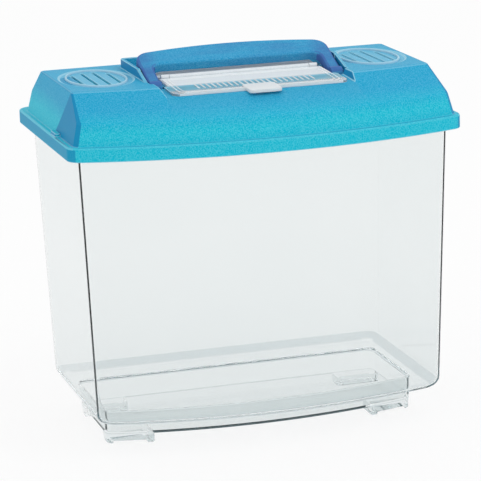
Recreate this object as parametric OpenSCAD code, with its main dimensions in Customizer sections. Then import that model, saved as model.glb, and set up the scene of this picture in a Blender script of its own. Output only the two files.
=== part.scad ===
// Plastic pet keeper: a clear tank with a bowed front, a domed lid with a well,
// a bail handle that folds into the well, and a clear feeding hatch.
// Millimetres, +Z up, the feet stand on z = 0, the middle of the overall box is x = y = 0.

/* [Overall] */
// Width over the lid's band
lid_w = 300; // [270:1:330]
// Depth of the lid's short sides, without the bow
side_d = 181; // [165:1:200]
// How far the front bows out past its corners
front_bow = 27; // [16:1:32]
// Corner radius of the lid's band
band_r = 12; // [8:1:16]

/* [Tank] */
// Height of the tank from the table to its rim
tank_h = 235; // [180:1:280]
// Wall thickness of the tank
tank_t = 2; // [1.6:0.1:2.6]
// Distance from the band's outside to the tank's wall
overhang = 9; // [8:0.5:11]
// Taper of each tank wall from rim to floor
tank_taper = 6.5; // [4:0.5:8]
// Radius of the tank's upright corners
tank_r = 10; // [7:1:14]
// Rounding between the tank's walls and its floor
floor_r = 9; // [6:1:12]
// Thickness of the tank's rim flange
rim_t = 2; // [1.6:0.1:3]

/* [Pan and feet] */
// Width of the sunken pan under the floor
pan_w = 243; // [220:1:250]
// Depth of the pan's short sides
pan_side_d = 88; // [76:1:96]
// Bow of the pan's front
pan_bow = 18; // [10:1:22]
// Distance from the tank's rear wall to the pan's rear
pan_back = 32; // [26:1:40]
// Height of the pan below the floor ledge
pan_h = 17; // [12:1:22]
// Height of the feet
foot_h = 7; // [5:0.5:10]
// Width of each foot
foot_w = 33; // [24:1:40]
// Depth of each foot
foot_d = 14; // [10:1:18]

/* [Lid] */
// Wall thickness of the lid
lid_t = 2.2; // [1.8:0.1:2.8]
// Height of the band below the ledge
band_h = 10.5; // [8:0.5:14]
// Width of the ledge between the band and the lid's wall
ledge_w = 4.5; // [3:0.5:6]
// Height of the steep lower part of the wall
steep_h = 16; // [12:1:20]
// Height of the shallow upper part of the wall
slope_h = 17.5; // [14:0.5:22]
// Inset of the crease between the two parts
steep_in = 4; // [2:0.5:6]
// Width of the plateau
plateau_w = 275; // [262:1:280]
// Depth of the plateau at its short sides
plateau_d = 103; // [96:1:112]
// Distance from the band's rear to the plateau's rear
plateau_back = 38; // [32:1:44]
// Bow of the plateau's front
plateau_bow = 15; // [8:1:20]
// Clearance between the lid's band and the tank's rim flange
band_gap = 0.5; // [0.3:0.1:1]

/* [Well] */
// Width of the well's floor at the front
well_w = 144; // [136:1:146]
// Flare of each side wall of the well at the front, from its floor to the plateau
well_flare = 2.5; // [1.5:0.25:3.5]
// Drop of the well's floor below the plateau, at the front lip
lip_drop = 5.5; // [5:0.1:6.5]
// Distance from the band's front to the front end of the well's floor
lip_back = 40; // [38:1:44]
// Distance from the band's rear to the well's rear wall
well_back = 54; // [50:1:60]
// Tilt of the well's floor, higher at the rear
well_tilt = 2; // [1.5:0.25:2.25]
// Height of the collar above the plateau
collar_h = 7; // [5:0.5:8]
// Thickness of the collar
collar_t = 2.6; // [2.2:0.1:3.5]

/* [Vents] */
// Distance of each vent's centre from the middle
vent_x = 107; // [106:0.5:108]
// Place of the vents' centres from the lid's rear
vent_back = 92; // [88:1:96]
// Width of each oval vent
vent_w = 45; // [40:1:47]
// Length of each oval vent
vent_l = 74; // [60:1:78]
// Number of slots in each vent
vent_slots = 4; // [3:1:6]
// Width of a slot
slot_w = 2.4; // [1.6:0.1:3]

/* [Handle] */
// Width of the handle over its arms
handle_w = 150; // [144:1:156]
// Gap between the handle's arms and the walls beside them
handle_gap = 1; // [0.75:0.25:1.5]
// Reach of the handle from its axis to the ends of the grip
handle_reach = 45.5; // [42:0.5:48]
// Extra reach in the middle of the arched grip
grip_arch = 6.3; // [4:0.1:7]
// Width of the grip at its ends
grip_w = 17; // [14:0.5:18]
// Width of each arm
arm_w = 9.5; // [8:0.5:10]
// Depth of the handle's channel section
handle_d = 8; // [7:0.5:8.5]
// Thickness of the handle's shell
handle_t = 2.2; // [1.8:0.1:2.6]
// Diameter of the handle's trunnions
trunnion_d = 5; // [4:0.5:6]
// Angle of the folded handle above the plateau
fold_angle = 22.5; // [21:0.5:26]
// Drop of the handle's axis below the plateau
axis_drop = 6; // [5.5:0.25:7]
// Distance from the front end of the well's floor to the handle's axis
axis_back = 44; // [42:1:47]

/* [Hatch] */
// Gap between the sides of the hatch and the handle's arms
hatch_gap = 2.5; // [2:0.25:4]
// Gap between the hatch's wide front part and the sides of the well
flange_gap = 5; // [3:0.5:7]
// Distance from the front end of the well's floor to the hatch's front edge
hatch_front = 3; // [2:0.5:5]
// Distance from the hatch's front edge to its hinge axis
hatch_l = 59; // [55:1:60]
// Thickness of the hatch and the panel
pane_t = 2; // [1.6:0.1:2.4]
// Diameter of the hatch's hinge pins
pin_d = 2; // [1.8:0.1:2.4]
// Width of the finger tab
tab_w = 25; // [18:1:32]
// Reach of the finger tab past the hatch's front edge
tab_l = 11; // [8:1:13]

/* [Hidden] */
EPS = 0.01;
$fn = 48;

blue = [0.19, 0.69, 0.84, 0.85];
clear = [0.88, 0.93, 0.93, 0.35];

// ---- outlines: [half width, front y, rear y, bow, front corner radius, rear corner radius, faceted]
half_d = (side_d + front_bow) / 2;
band = [lid_w / 2, -half_d, half_d, front_bow, band_r, band_r];

function arc_r(o) = (o[0] * o[0] + o[3] * o[3]) / (2 * o[3]);
// The same outline moved inwards by i, all round
function inset(o, i, rf = undef, rr = undef) =
    let (r = arc_r(o) - i, a = o[0] - i)
    [a, o[1] + i, o[2] - i, r - sqrt(r * r - a * a),
     is_undef(rf) ? max(o[4] - i, 1) : rf, is_undef(rr) ? max(o[5] - i, 1) : rr, o[6]];
// The same outline with a flat facet at each corner
function faceted(o) = [for (k = [0 : 5]) o[k], true];

function dir(a) = [cos(a), sin(a)];
// Three points that soften, with radius s, the edge at p between faces that look along a0 and a1
function soft_edge(p, s, a0, a1) =
    let (c = p - s * (dir(a0) + dir(a1)) / (1 + cos(a1 - a0)))
    [for (a = [a0, (a0 + a1) / 2, a1]) c + s * dir(a)];
// Points round a corner from angle a0 to a1: an arc, or a facet that touches the arc's middle
function corner(c, r, a0, a1, facet) =
    let (am = (a0 + a1) / 2, t = r * tan((a1 - a0) / 4), s = 0.2 * r)
    facet != true ? [for (k = [0 : CORNER_N]) c + r * dir(a0 + (a1 - a0) * k / CORNER_N)]
    : concat([c + r * dir(a0)], soft_edge(c + r * dir(a0) + t * dir(a0 + 90), s, a0, am),
             soft_edge(c + r * dir(a1) - t * dir(a1 + 90), s, am, a1), [c + r * dir(a1)]);

FRONT_N = 14;
CORNER_N = 7;
// Points of an outline at height z, counter-clockwise from the left end of the bowed front
function ring(o, z) =
    let (r = arc_r(o), cy = o[1] + r, rf = o[4], rr = o[5],
         fy = cy - sqrt(pow(r - rf, 2) - pow(o[0] - rf, 2)),
         phi = atan2(fy - cy, o[0] - rf))
    [for (p = concat(
        [for (k = [1 : FRONT_N - 1]) let (t = -180 - phi + (180 + 2 * phi) * k / FRONT_N)
            [r * cos(t), cy + r * sin(t)]],
        corner([o[0] - rf, fy], rf, phi, 0, o[6]),
        corner([o[0] - rr, o[2] - rr], rr, 0, 90, o[6]),
        corner([rr - o[0], o[2] - rr], rr, 90, 180, o[6]),
        corner([rf - o[0], fy], rf, 180, 180 - phi, o[6]))) [p[0], p[1], z]];

// A closed solid through a stack of rings, from the lowest to the highest
module loft(rings) {
    n = len(rings[0]);
    m = len(rings);
    polyhedron(
        points = [for (r = rings) each r],
        faces = concat(
            [[for (k = [0 : n - 1]) k]],
            [for (j = [0 : m - 2], k = [0 : n - 1]) let (a = j * n + k, b = j * n + (k + 1) % n)
                each [[a, a + n, b], [b, a + n, b + n]]],
            [[for (k = [n - 1 : -1 : 0]) (m - 1) * n + k]]));
}

// ---- heights
ledge_z = foot_h + pan_h;                // underside of the tank's floor
rim_z = tank_h;                          // top of the tank's rim, under the lid's ledge
shelf_z = rim_z + lid_t;                 // top of the lid's ledge
crease_z = shelf_z + steep_h;
plateau_z = crease_z + slope_h;

// ---- tank outlines
tank_top = inset(band, overhang, tank_r, tank_r);
tank_low = inset(tank_top, tank_taper, tank_r, tank_r);
rim_flange = inset(band, lid_t + band_gap);
pan = [pan_w / 2, tank_low[2] - pan_back - pan_side_d - pan_bow, tank_low[2] - pan_back, pan_bow, 7, 7];

ROLL_N = 4;
// Rings that roll an outline's lower edge with radius r, starting at height z
function rolled(o, z, r) = [for (k = [0 : ROLL_N]) let (t = 90 * k / ROLL_N)
    ring(inset(o, r * (1 - sin(t)), o[4], o[5]), z + r * (1 - cos(t)))];

module tank_shell() {
    difference() {
        union() {
            loft(concat(rolled(tank_low, ledge_z, floor_r), [ring(tank_top, rim_z)]));
            loft(concat(rolled(pan, foot_h, 3), [ring(pan, ledge_z + tank_t / 2)]));
            loft([ring(inset(tank_top, -1), rim_z - rim_t - 2), ring(rim_flange, rim_z - rim_t),
                  ring(rim_flange, rim_z)]);
        }
        loft(concat(rolled(inset(tank_low, tank_t, tank_r - tank_t, tank_r - tank_t),
                           ledge_z + tank_t, floor_r - tank_t),
                    [ring(inset(tank_top, tank_t), rim_z + EPS)]));
        loft(concat(rolled(inset(pan, tank_t, 5, 5), foot_h + tank_t, 2),
                    [ring(inset(pan, tank_t, 5, 5), ledge_z + tank_t + EPS)]));
    }
}

// One foot under a corner of the pan, at side sx and at the front (-1) or the rear (1)
module foot(sx, sy) {
    intersection() {
        loft([ring(inset(pan, 1), 0), ring(pan, foot_h + 3.5)]);
        translate([sx * (pan_w / 2 - foot_w / 2 - 1), sy < 0 ? pan[1] : pan[2], foot_h / 2 + 1.5])
            cube([foot_w + 2, 2 * foot_d + (sy < 0 ? 2 * pan_bow : 0), foot_h + 3], center = true);
    }
}

module tank() {
    color(clear) {
        tank_shell();
        for (sx = [-1, 1], sy = [-1, 1]) foot(sx, sy);
    }
}

// ---- lid
wall_foot = faceted(inset(band, ledge_w, 24, 24));
crease = inset(wall_foot, steep_in, 20, 20);
plateau = [plateau_w / 2, half_d - plateau_back - plateau_d - plateau_bow, half_d - plateau_back,
           plateau_bow, 3, 3, true];

// ---- well, in a frame that is tilted with its floor: x, s along the floor, h above it
floor_y0 = -half_d + lip_back;
lip_z = plateau_z - lip_drop;
well_y1 = half_d - well_back;
well_len = (well_y1 - floor_y0) / cos(well_tilt);
TOP = 40;                                // reach of a cut above the lid
module on_floor() translate([0, floor_y0, lip_z]) rotate([well_tilt, 0, 0]) children();

// A box between two opposite corners
module box(a, b) translate(a) cube(b - a);

// A box with rounded upright edges
module round_box(a, b, r) {
    translate([0, 0, a[2]]) linear_extrude(b[2] - a[2]) {
        translate([a[0] + r, a[1]]) square([b[0] - a[0] - 2 * r, b[1] - a[1]]);
        translate([a[0], a[1] + r]) square([b[0] - a[0], b[1] - a[1] - 2 * r]);
        for (x = [a[0] + r, b[0] - r], y = [a[1] + r, b[1] - r]) translate([x, y]) circle(r, $fn = 32);
    }
}

// A prism along y with a section given in x and z
module prism(section, y0, y1)
    translate([0, y1, 0]) rotate([90, 0, 0]) linear_extrude(y1 - y0) polygon(section);

// ---- handle sizes
axis_y = floor_y0 + axis_back;
axis_z = plateau_z - axis_drop;
arm_out = handle_w / 2;
arm_in = arm_out - arm_w;
hub_r = handle_d / 2 + 2;
pocket_play = 0.8;                       // clearance between each arm and the inside of its pocket
pocket_in = arm_in - pocket_play;
pocket_out = arm_out + handle_gap;       // also the inside of the collar
pocket_z = axis_z - hub_r - 1;
pocket_y0 = axis_y - hub_r - 5;
pocket_y1 = axis_y + 19;
boss_w = 4;                              // length of the bearing bosses beside the pockets
end_play = 0.5;                          // distance of each trunnion's tip from the boss's end
trunnion_tip = pocket_out + boss_w - end_play;
bore_play = 0.15;                        // clearance of a trunnion in its bore, on the diameter
bore_d = trunnion_d + bore_play;
rest_y = axis_y + 22;                    // front edge of the pads that carry the folded handle
rest_l = 4;
rest_v = (rest_y - axis_y - handle_d / 2 * sin(fold_angle)) / cos(fold_angle);
rest_play = 0.3;                         // clearance over the pads
rest_z = axis_z + rest_v * sin(fold_angle) - handle_d / 2 * cos(fold_angle) - rest_play;

// ---- hatch sizes, on the well's floor
hatch_w = 2 * (arm_in - hatch_gap);
flange_w = well_w - 2 * flange_gap;      // the hatch's wide front part, in front of the pockets
flange_s = (pocket_y0 - floor_y0) / cos(well_tilt) - 1.5;
hinge_s = hatch_front + hatch_l;
hinge_h = 2.4;                           // height of the hinge axis above the floor
eye_r = pin_d / 2 + 1.1;
eye_w = 6;
eye_in = 2;                              // distance of the eyes from the panel's sides
knuckle_gap = 0.4;                       // clearance between knuckles, and behind them
leaf_gap = 0.6;                          // clearance between the hatch's leaf and the eyes
pin_play = 0.12;                         // clearance of a pin in its eye, on the diameter
port_r = 4;                              // corner radius of the port
leg_in = 1.5;                            // distance of the snap legs' middle from the port's sides
leg_t = 2.4;                             // thickness of a snap leg
leg_l = 8;                               // length of a snap leg along the floor
barb_h = 2.5;                            // reach of the legs below the floor
barb_gap = 0.3;                          // clearance between a barb and the floor above it
panel_s0 = hinge_s + eye_r + knuckle_gap;
panel_s1 = well_len - 6;
port_side = 9;                           // land under each side of the hatch and the panel
port_s0 = hatch_front + 11;
port_s1 = panel_s1 - 8;

// The well itself: flared side walls at the front, wider upright ones beside the handle
module well_void() {
    w = well_w / 2;
    drop = plateau_z - lip_z;
    on_floor() {
        prism([[-w, 0], [w, 0], [w + well_flare, drop], [w + well_flare, TOP],
               [-w - well_flare, TOP], [-w - well_flare, drop]], -40, well_len - 1);
        box([-pocket_out, axis_back, 0], [pocket_out, well_len, TOP]);
    }
}

// Everything that the well's walls are made from, before the lid's outside trims it
module well_block() {
    half = pocket_out + lid_t + 0.5;
    on_floor() box([-half, -40, -lid_t], [half, well_len + lid_t, TOP]);
    for (sx = [-1, 1]) {
        x0 = sx > 0 ? pocket_in - lid_t : -pocket_out - lid_t;
        x1 = sx > 0 ? pocket_out + lid_t : lid_t - pocket_in;
        box([x0, pocket_y0 - lid_t, pocket_z - lid_t], [x1, pocket_y1 + lid_t, plateau_z]);
    }
}

// Bearing bosses beside the pockets, under the plateau
module bosses() {
    for (sx = [-1, 1])
        translate([sx * (pocket_out + 0.2), axis_y, axis_z]) rotate([0, sx * 90, 0])
            cylinder(r = trunnion_d / 2 + 2.6, h = boss_w - 0.2);
}

// Pockets beside the hatch, in which the handle's arms turn
module pockets() {
    for (sx = [-1, 1])
        box([sx > 0 ? pocket_in : -pocket_out - 0.3, pocket_y0, pocket_z],
            [sx > 0 ? pocket_out + 0.3 : -pocket_in, pocket_y1, plateau_z + TOP]);
}

// Raised collar along the sides and the rear of the well; its cheeks slope down at the front
module collar() {
    top = plateau_z + collar_h;
    nose_y = axis_y - 3;
    y1 = well_y1 + collar_t;
    for (sx = [-1, 1])
        translate([sx > 0 ? pocket_out : -pocket_out - collar_t, 0, 0]) rotate([90, 0, 90])
            linear_extrude(collar_t)
                polygon([[nose_y, plateau_z - lid_t], [y1, plateau_z - lid_t], [y1, top],
                         [nose_y + 24, top], [nose_y, plateau_z]]);
    box([-pocket_out - 1, well_y1 - 0.5, plateau_z - lid_t], [pocket_out + 1, y1, top]);
}

// Pads on the well's floor, on which the folded handle rests
module rest_pads() {
    for (sx = [-1, 1])
        box([sx > 0 ? arm_in : -arm_out, rest_y, lip_z - 1],
            [sx > 0 ? arm_out : -arm_in, rest_y + rest_l, rest_z]);
}

vent_y = half_d - vent_back;
// An oval with half axes a and b
module oval(a, b) polygon([for (k = [0 : 47]) [a * cos(7.5 * k), b * sin(7.5 * k)]]);

// The bead round one vent
module vent_bead() {
    translate([0, vent_y, plateau_z - 1]) linear_extrude(1.9) difference() {
        oval(vent_w / 2, vent_l / 2);
        oval(vent_w / 2 - 1.6, vent_l / 2 - 1.6);
    }
}

// The slots of one vent, along the depth of the lid
module vent_cut() {
    pitch = (vent_w - 8) / vent_slots;
    a = vent_w / 2 - 3;
    b = vent_l / 2 - 4;
    for (k = [0 : vent_slots - 1]) {
        x = (k - (vent_slots - 1) / 2) * pitch;
        l = b * sqrt(1 - pow(x / a, 2));
        translate([x, vent_y, plateau_z - lid_t - 1]) linear_extrude(lid_t + 3) {
            translate([-slot_w / 2, -l + slot_w / 2]) square([slot_w, 2 * l - slot_w]);
            for (y = [-l + slot_w / 2, l - slot_w / 2]) translate([0, y]) circle(slot_w / 2, $fn = 24);
        }
    }
}

// Small grip nub on the ledge, one at each short side
module ledge_nubs() {
    for (sx = [-1, 1])
        translate([sx * (lid_w / 2 - ledge_w / 2 - 0.6), -22, shelf_z - 0.5])
            round_box([-2, -8, 0], [2, 8, 3], 1.6);
}

module lid_outside() {
    loft([ring(band, shelf_z - band_h), ring(band, shelf_z - 1.2), ring(inset(band, 1.2), shelf_z),
          ring(wall_foot, shelf_z), ring(crease, crease_z), ring(plateau, plateau_z)]);
}

module lid_cavity() {
    loft([ring(inset(band, lid_t), shelf_z - band_h - 1), ring(inset(band, lid_t), rim_z)]);
    loft([ring(inset(wall_foot, lid_t), rim_z - 1), ring(inset(wall_foot, lid_t), shelf_z),
          ring(inset(crease, lid_t), crease_z - 0.6), ring(inset(plateau, lid_t), plateau_z - lid_t)]);
}

module lid() {
    color(blue) difference() {
        union() {
            difference() {
                lid_outside();
                difference() {
                    lid_cavity();
                    well_block();
                }
                well_void();
            }
            collar();
            bosses();
            rest_pads();
            ledge_nubs();
            for (sx = [-1, 1]) translate([sx * vent_x, 0, 0]) vent_bead();
        }
        pockets();
        on_floor() round_box([port_side - hatch_w / 2, port_s0, -lid_t - 2],
                             [hatch_w / 2 - port_side, port_s1, 3], port_r);
        for (sx = [-1, 1])
            translate([sx * (pocket_out - 1), axis_y, axis_z]) rotate([0, sx * 90, 0])
                cylinder(d = bore_d, h = boss_w + 2);
        for (sx = [-1, 1]) translate([sx * vent_x, 0, 0]) vent_cut();
    }
}

// ---- handle, in its own plane: x, y away from the axis, z out of the plane
grip_out = [arm_out, -handle_reach - grip_arch, 0, grip_arch, 11, 1];
function flat(points) = [for (p = points) [p[0], -p[1]]];

// The handle's outline grown inwards by i
module handle_outline(i) {
    difference() {
        polygon(flat(ring(inset(grip_out, i, 11 - i, 1), 0)));
        w = arm_in + i;
        r = 7 - i;
        top = handle_reach - grip_w + i;
        translate([-w, -1]) square([2 * w, top + 1 - r]);
        translate([-w + r, -1]) square([2 * (w - r), top + 1]);
        for (x = [-w + r, w - r]) translate([x, top - r]) circle(r, $fn = 32);
    }
}

module handle() {
    color(blue) translate([0, axis_y, axis_z]) rotate([fold_angle, 0, 0]) {
        difference() {
            translate([0, 0, -handle_d / 2]) linear_extrude(handle_d) handle_outline(0);
            translate([0, 0, -handle_d / 2 - 1]) linear_extrude(handle_d + 1 - handle_t)
                intersection() {
                    handle_outline(handle_t);
                    translate([-arm_out, hub_r + 2]) square([2 * arm_out, handle_reach + grip_arch]);
                }
        }
        for (sx = [-1, 1]) {
            translate([sx > 0 ? arm_in : -arm_out, 0, 0]) rotate([0, 90, 0]) cylinder(r = hub_r, h = arm_w);
            translate([sx > 0 ? arm_out - 1 : -trunnion_tip, 0, 0]) rotate([0, 90, 0])
                cylinder(d = trunnion_d, h = trunnion_tip - arm_out + 1);
        }
    }
}

// ---- clear panes
// A box at side sx, from x0 to x1, at [s, h] and of size [along s, along h]
module sided_box(sx, x0, x1, at, size)
    translate([sx > 0 ? x0 : -x1, at[0], at[1]]) cube([x1 - x0, size[0], size[1]]);

module window_panel() {
    color(clear) on_floor() {
        w = hatch_w / 2;
        difference() {
            union() {
                round_box([-w, panel_s0, 0], [w, panel_s1, pane_t], 3);
                for (sx = [-1, 1]) {
                    x0 = sx * (w - eye_w - eye_in);
                    translate([x0, hinge_s, hinge_h]) rotate([0, sx * 90, 0])
                        cylinder(r = eye_r, h = eye_w);
                    box([min(x0, x0 + sx * eye_w), hinge_s, hinge_h - eye_r],
                        [max(x0, x0 + sx * eye_w), panel_s0 + 4, pane_t]);
                }
            }
            translate([-w, hinge_s, hinge_h]) rotate([0, 90, 0]) cylinder(d = pin_d + pin_play, h = 2 * w);
        }
        // snap legs whose barbs hook under the well's floor
        for (sx = [-1, 1]) {
            x = w - port_side - leg_in;
            at = [panel_s0 + 10, -lid_t - barb_h];
            sided_box(sx, x - leg_t / 2, x + leg_t / 2, at, [leg_l, lid_t + barb_h + 0.5]);
            sided_box(sx, x, x + leg_t, at, [leg_l, barb_h - barb_gap]);
        }
    }
}

module hatch() {
    color(clear) on_floor() {
        w = hatch_w / 2;
        inner = w - eye_w - eye_in - knuckle_gap;
        round_box([-flange_w / 2, hatch_front, 0], [flange_w / 2, flange_s, pane_t], 5);
        box([-w, flange_s - 6, 0], [w, hinge_s - eye_r - leaf_gap, pane_t]);
        box([-inner, hinge_s - 6, 0], [inner, hinge_s, pane_t]);
        translate([-inner, hinge_s, hinge_h]) rotate([0, 90, 0]) cylinder(r = eye_r - 0.2, h = 2 * inner);
        translate([-w + 3, hinge_s, hinge_h]) rotate([0, 90, 0]) cylinder(d = pin_d, h = 2 * w - 6);
        // finger tab and the upstand along the front edge
        round_box([-tab_w / 2, hatch_front - tab_l, 0], [tab_w / 2, hatch_front + 14, pane_t + 0.8], 3);
        box([-flange_w / 2 + 5, hatch_front, pane_t - 0.5],
            [flange_w / 2 - 5, hatch_front + 1.6, pane_t + 0.6]);
    }
}

tank();
lid();
handle();
window_panel();
hatch();
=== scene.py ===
"""Clear small-animal keeper: bow-fronted tank, domed blue lid, bail handle and feeding hatch."""

from __future__ import annotations

import logging
import math
import sys
from contextlib import contextmanager
from dataclasses import dataclass, replace
from enum import Enum
from typing import Callable, Iterator, Sequence, Union

import bmesh
import bpy
from mathutils import Matrix, Vector

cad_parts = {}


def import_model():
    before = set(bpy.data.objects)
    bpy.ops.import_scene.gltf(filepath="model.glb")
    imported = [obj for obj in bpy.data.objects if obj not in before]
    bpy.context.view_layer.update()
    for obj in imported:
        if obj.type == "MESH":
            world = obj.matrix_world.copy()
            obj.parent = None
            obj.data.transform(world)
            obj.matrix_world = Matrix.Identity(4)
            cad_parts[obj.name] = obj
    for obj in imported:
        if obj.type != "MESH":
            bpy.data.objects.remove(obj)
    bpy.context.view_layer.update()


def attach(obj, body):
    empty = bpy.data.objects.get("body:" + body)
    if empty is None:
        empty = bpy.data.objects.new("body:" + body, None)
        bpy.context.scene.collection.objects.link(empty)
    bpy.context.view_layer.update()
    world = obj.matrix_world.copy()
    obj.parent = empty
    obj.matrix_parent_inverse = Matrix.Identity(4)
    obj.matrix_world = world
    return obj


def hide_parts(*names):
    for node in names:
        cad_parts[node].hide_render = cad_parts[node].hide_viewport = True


log = logging.getLogger("keeper")
MM = 0.001

Number = Union[int, float]
Operand = Union["Signal", Number]
Point = tuple[float, float]
Place = tuple[float, float, float]
Colour = tuple[float, float, float, float]

WHITE: Colour = (1.0, 1.0, 1.0, 1.0)
SIDES = (-1.0, 1.0)


class Body(Enum):
    """The moving bodies that pieces ride on."""

    TANK = "tank"
    LID = "lid"
    HANDLE = "handle"
    HATCH = "hatch"


class Slot(Enum):
    """The material slots of the record."""

    CLEAR_TANK = "clear_tank"
    BLUE_LID = "blue_lid"
    BLUE_HANDLE = "blue_handle"
    CLEAR_PANE = "clear_pane"


# ---------------------------------------------------------------- shader tools


class Signal:
    """A number that varies over a surface. Arithmetic on it adds Math nodes."""

    def __init__(self, bench: "NodeBench", socket: bpy.types.NodeSocket) -> None:
        """Keeps the bench that makes nodes and the socket that gives the number."""
        self.bench = bench
        self.socket = socket

    def _math(self, operation: str, first: Operand, second: Operand) -> "Signal":
        """Adds one Math node.

        Args:
            operation: the Math node's operation.
            first: value or signal for the first input.
            second: value or signal for the second input.

        Returns:
            The node's result.
        """
        node = self.bench.add("ShaderNodeMath", {"operation": operation}, {0: first, 1: second})
        return Signal(self.bench, node.outputs[0])

    def __add__(self, other: Operand) -> "Signal":
        """self + other."""
        return self._math("ADD", self, other)

    def __radd__(self, other: Operand) -> "Signal":
        """other + self."""
        return self._math("ADD", other, self)

    def __sub__(self, other: Operand) -> "Signal":
        """self - other."""
        return self._math("SUBTRACT", self, other)

    def __rsub__(self, other: Operand) -> "Signal":
        """other - self."""
        return self._math("SUBTRACT", other, self)

    def __mul__(self, other: Operand) -> "Signal":
        """self * other."""
        return self._math("MULTIPLY", self, other)

    def __rmul__(self, other: Operand) -> "Signal":
        """other * self."""
        return self._math("MULTIPLY", other, self)

    def between(self, low: float, high: float) -> "Signal":
        """0 at low and below, 1 at high and above, and a straight run between them."""
        node = self.bench.add("ShaderNodeMapRange", {"clamp": True}, {0: self, 1: low, 2: high})
        return Signal(self.bench, node.outputs[0])


class NodeBench:
    """Makes the nodes of one material or world."""

    def __init__(self, tree: bpy.types.NodeTree) -> None:
        """Starts with an empty tree."""
        self.tree = tree
        tree.nodes.clear()

    def add(
        self,
        kind: str,
        settings: dict[str, object] | None = None,
        inputs: dict[Union[str, int], object] | None = None,
    ) -> bpy.types.Node:
        """Makes any node.

        Args:
            kind: the node's Blender type.
            settings: properties of the node, set first.
            inputs: values or links of its sockets, by name or index.

        Returns:
            The new node.
        """
        node = self.tree.nodes.new(kind)
        for key, value in (settings or {}).items():
            setattr(node, key, value)
        for key, value in (inputs or {}).items():
            socket = node.inputs[key]
            if isinstance(value, Signal):
                self.tree.links.new(value.socket, socket)
            elif isinstance(value, bpy.types.NodeSocket):
                self.tree.links.new(value, socket)
            else:
                socket.default_value = value
        return node

    def signal(self, node: bpy.types.Node, output: Union[str, int] = 0) -> Signal:
        """The number that one of a node's outputs gives."""
        return Signal(self, node.outputs[output])

    def place(self, scale: Sequence[float] = (1.0, 1.0, 1.0)) -> bpy.types.NodeSocket:
        """Object coordinates, stretched by scale."""
        coords = self.add("ShaderNodeTexCoord").outputs["Object"]
        return self.add("ShaderNodeMapping", {}, {"Vector": coords, "Scale": tuple(scale)}).outputs["Vector"]

    def along(self, axis: str) -> Signal:
        """The Object coordinate along X, Y or Z, in metres."""
        return self.signal(self.add("ShaderNodeSeparateXYZ", {}, {"Vector": self.place()}), axis)

    def noise(self, scale: float, detail: float = 2.0, stretch: Sequence[float] = (1.0, 1.0, 1.0)) -> Signal:
        """Noise from 0 to 1, in Object coordinates."""
        node = self.add("ShaderNodeTexNoise", {}, {"Vector": self.place(stretch), "Scale": scale, "Detail": detail})
        return self.signal(node)

    def painted(self, name: str) -> Signal:
        """A number that is kept on the piece's own mesh."""
        return self.signal(self.add("ShaderNodeAttribute", {"attribute_name": name}), "Fac")

    def blend(self, factor: Operand, low: object, high: object) -> bpy.types.NodeSocket:
        """A colour between low, at 0, and high, at 1."""
        node = self.add("ShaderNodeMix", {"data_type": "RGBA", "clamp_factor": True}, {0: factor, 6: low, 7: high})
        return node.outputs[2]

    def bump(self, height: Signal, strength: float, distance: float) -> bpy.types.NodeSocket:
        """A normal that follows a height."""
        node = self.add("ShaderNodeBump", {}, {"Strength": strength, "Distance": distance, "Height": height})
        return node.outputs["Normal"]

    def plastic(self, inputs: dict[Union[str, int], object]) -> bpy.types.NodeSocket:
        """A Principled shader with these values and links."""
        return self.add("ShaderNodeBsdfPrincipled", {}, inputs).outputs[0]

    def mixed(
        self, share: Operand, first: bpy.types.NodeSocket, second: bpy.types.NodeSocket
    ) -> bpy.types.NodeSocket:
        """A shader that is the first where share is 0 and the second where it is 1."""
        return self.add("ShaderNodeMixShader", {}, {0: share, 1: first, 2: second}).outputs[0]

    def surface(self, shader: bpy.types.NodeSocket, owner: str = "Material") -> None:
        """Ends the tree of a Material or a World with its shader."""
        self.add(f"ShaderNodeOutput{owner}", {}, {"Surface": shader})


def linear(red: float, green: float, blue: float) -> Colour:
    """Turns a display colour into scene-linear colour.

    Args:
        red: red, from 0 to 255.
        green: green, from 0 to 255.
        blue: blue, from 0 to 255.

    Returns:
        The linear colour, with an alpha of 1.
    """

    def one(value: float) -> float:
        """One channel."""
        v = value / 255.0
        return v / 12.92 if v <= 0.04045 else ((v + 0.055) / 1.055) ** 2.4

    return (one(red), one(green), one(blue), 1.0)


def new_material(name: str) -> tuple[bpy.types.Material, NodeBench]:
    """Makes an empty material.

    Args:
        name: name of the material.

    Returns:
        The material and its bench.
    """
    material = bpy.data.materials.new(name)
    material.use_nodes = True
    return material, NodeBench(material.node_tree)


@dataclass(frozen=True)
class ClearPlastic:
    """Glossy clear moulded plastic with a faint haze.

    The haze grows towards the floor, and the mesh's own "edge" number adds a teal-grey haze at moulded edges:
    painted lines that stand in for the light and dark lines that refraction draws there.
    """

    name: str
    tint: Colour = linear(246, 248, 248)
    haze: Colour = linear(214, 230, 233)
    refraction_line_tone: Colour = linear(170, 206, 214)
    roughness: float = 0.01
    wear: float = 0.05
    ior: float = 1.1
    haze_roughness: float = 0.3
    haze_ior: float = 1.3
    top_z: float = 0.12
    floor_z: float = 0.03
    floor_share: float = 0.03
    cloud_share: float = 0.02
    refraction_line_share: float = 0.12

    def make(self) -> bpy.types.Material:
        """Builds the material.

        Returns:
            The material, clear with a share of the haze.
        """
        material, bench = new_material(self.name)
        clear = bench.plastic(
            {
                "Base Color": self.tint,
                "Roughness": bench.noise(35.0, 3.0) * self.wear + self.roughness,
                "IOR": self.ior,
                "Transmission Weight": 1.0,
                "Normal": bench.bump(bench.noise(9.0, 1.0), 0.05, 0.002),
            }
        )
        # Painted refraction lines: moulded edges get a teal-grey haze in place of the lines that refraction draws
        # there.
        edge = bench.painted("edge")
        tone = bench.blend(edge, self.haze, self.refraction_line_tone)
        milky = bench.plastic({"Base Color": tone, "Roughness": self.haze_roughness, "IOR": self.haze_ior})
        low = bench.along("Z").between(self.top_z, self.floor_z) * self.floor_share
        share = low + bench.noise(14.0, 2.0) * self.cloud_share + edge * self.refraction_line_share
        bench.surface(bench.mixed(share, clear, milky))
        return material


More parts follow.
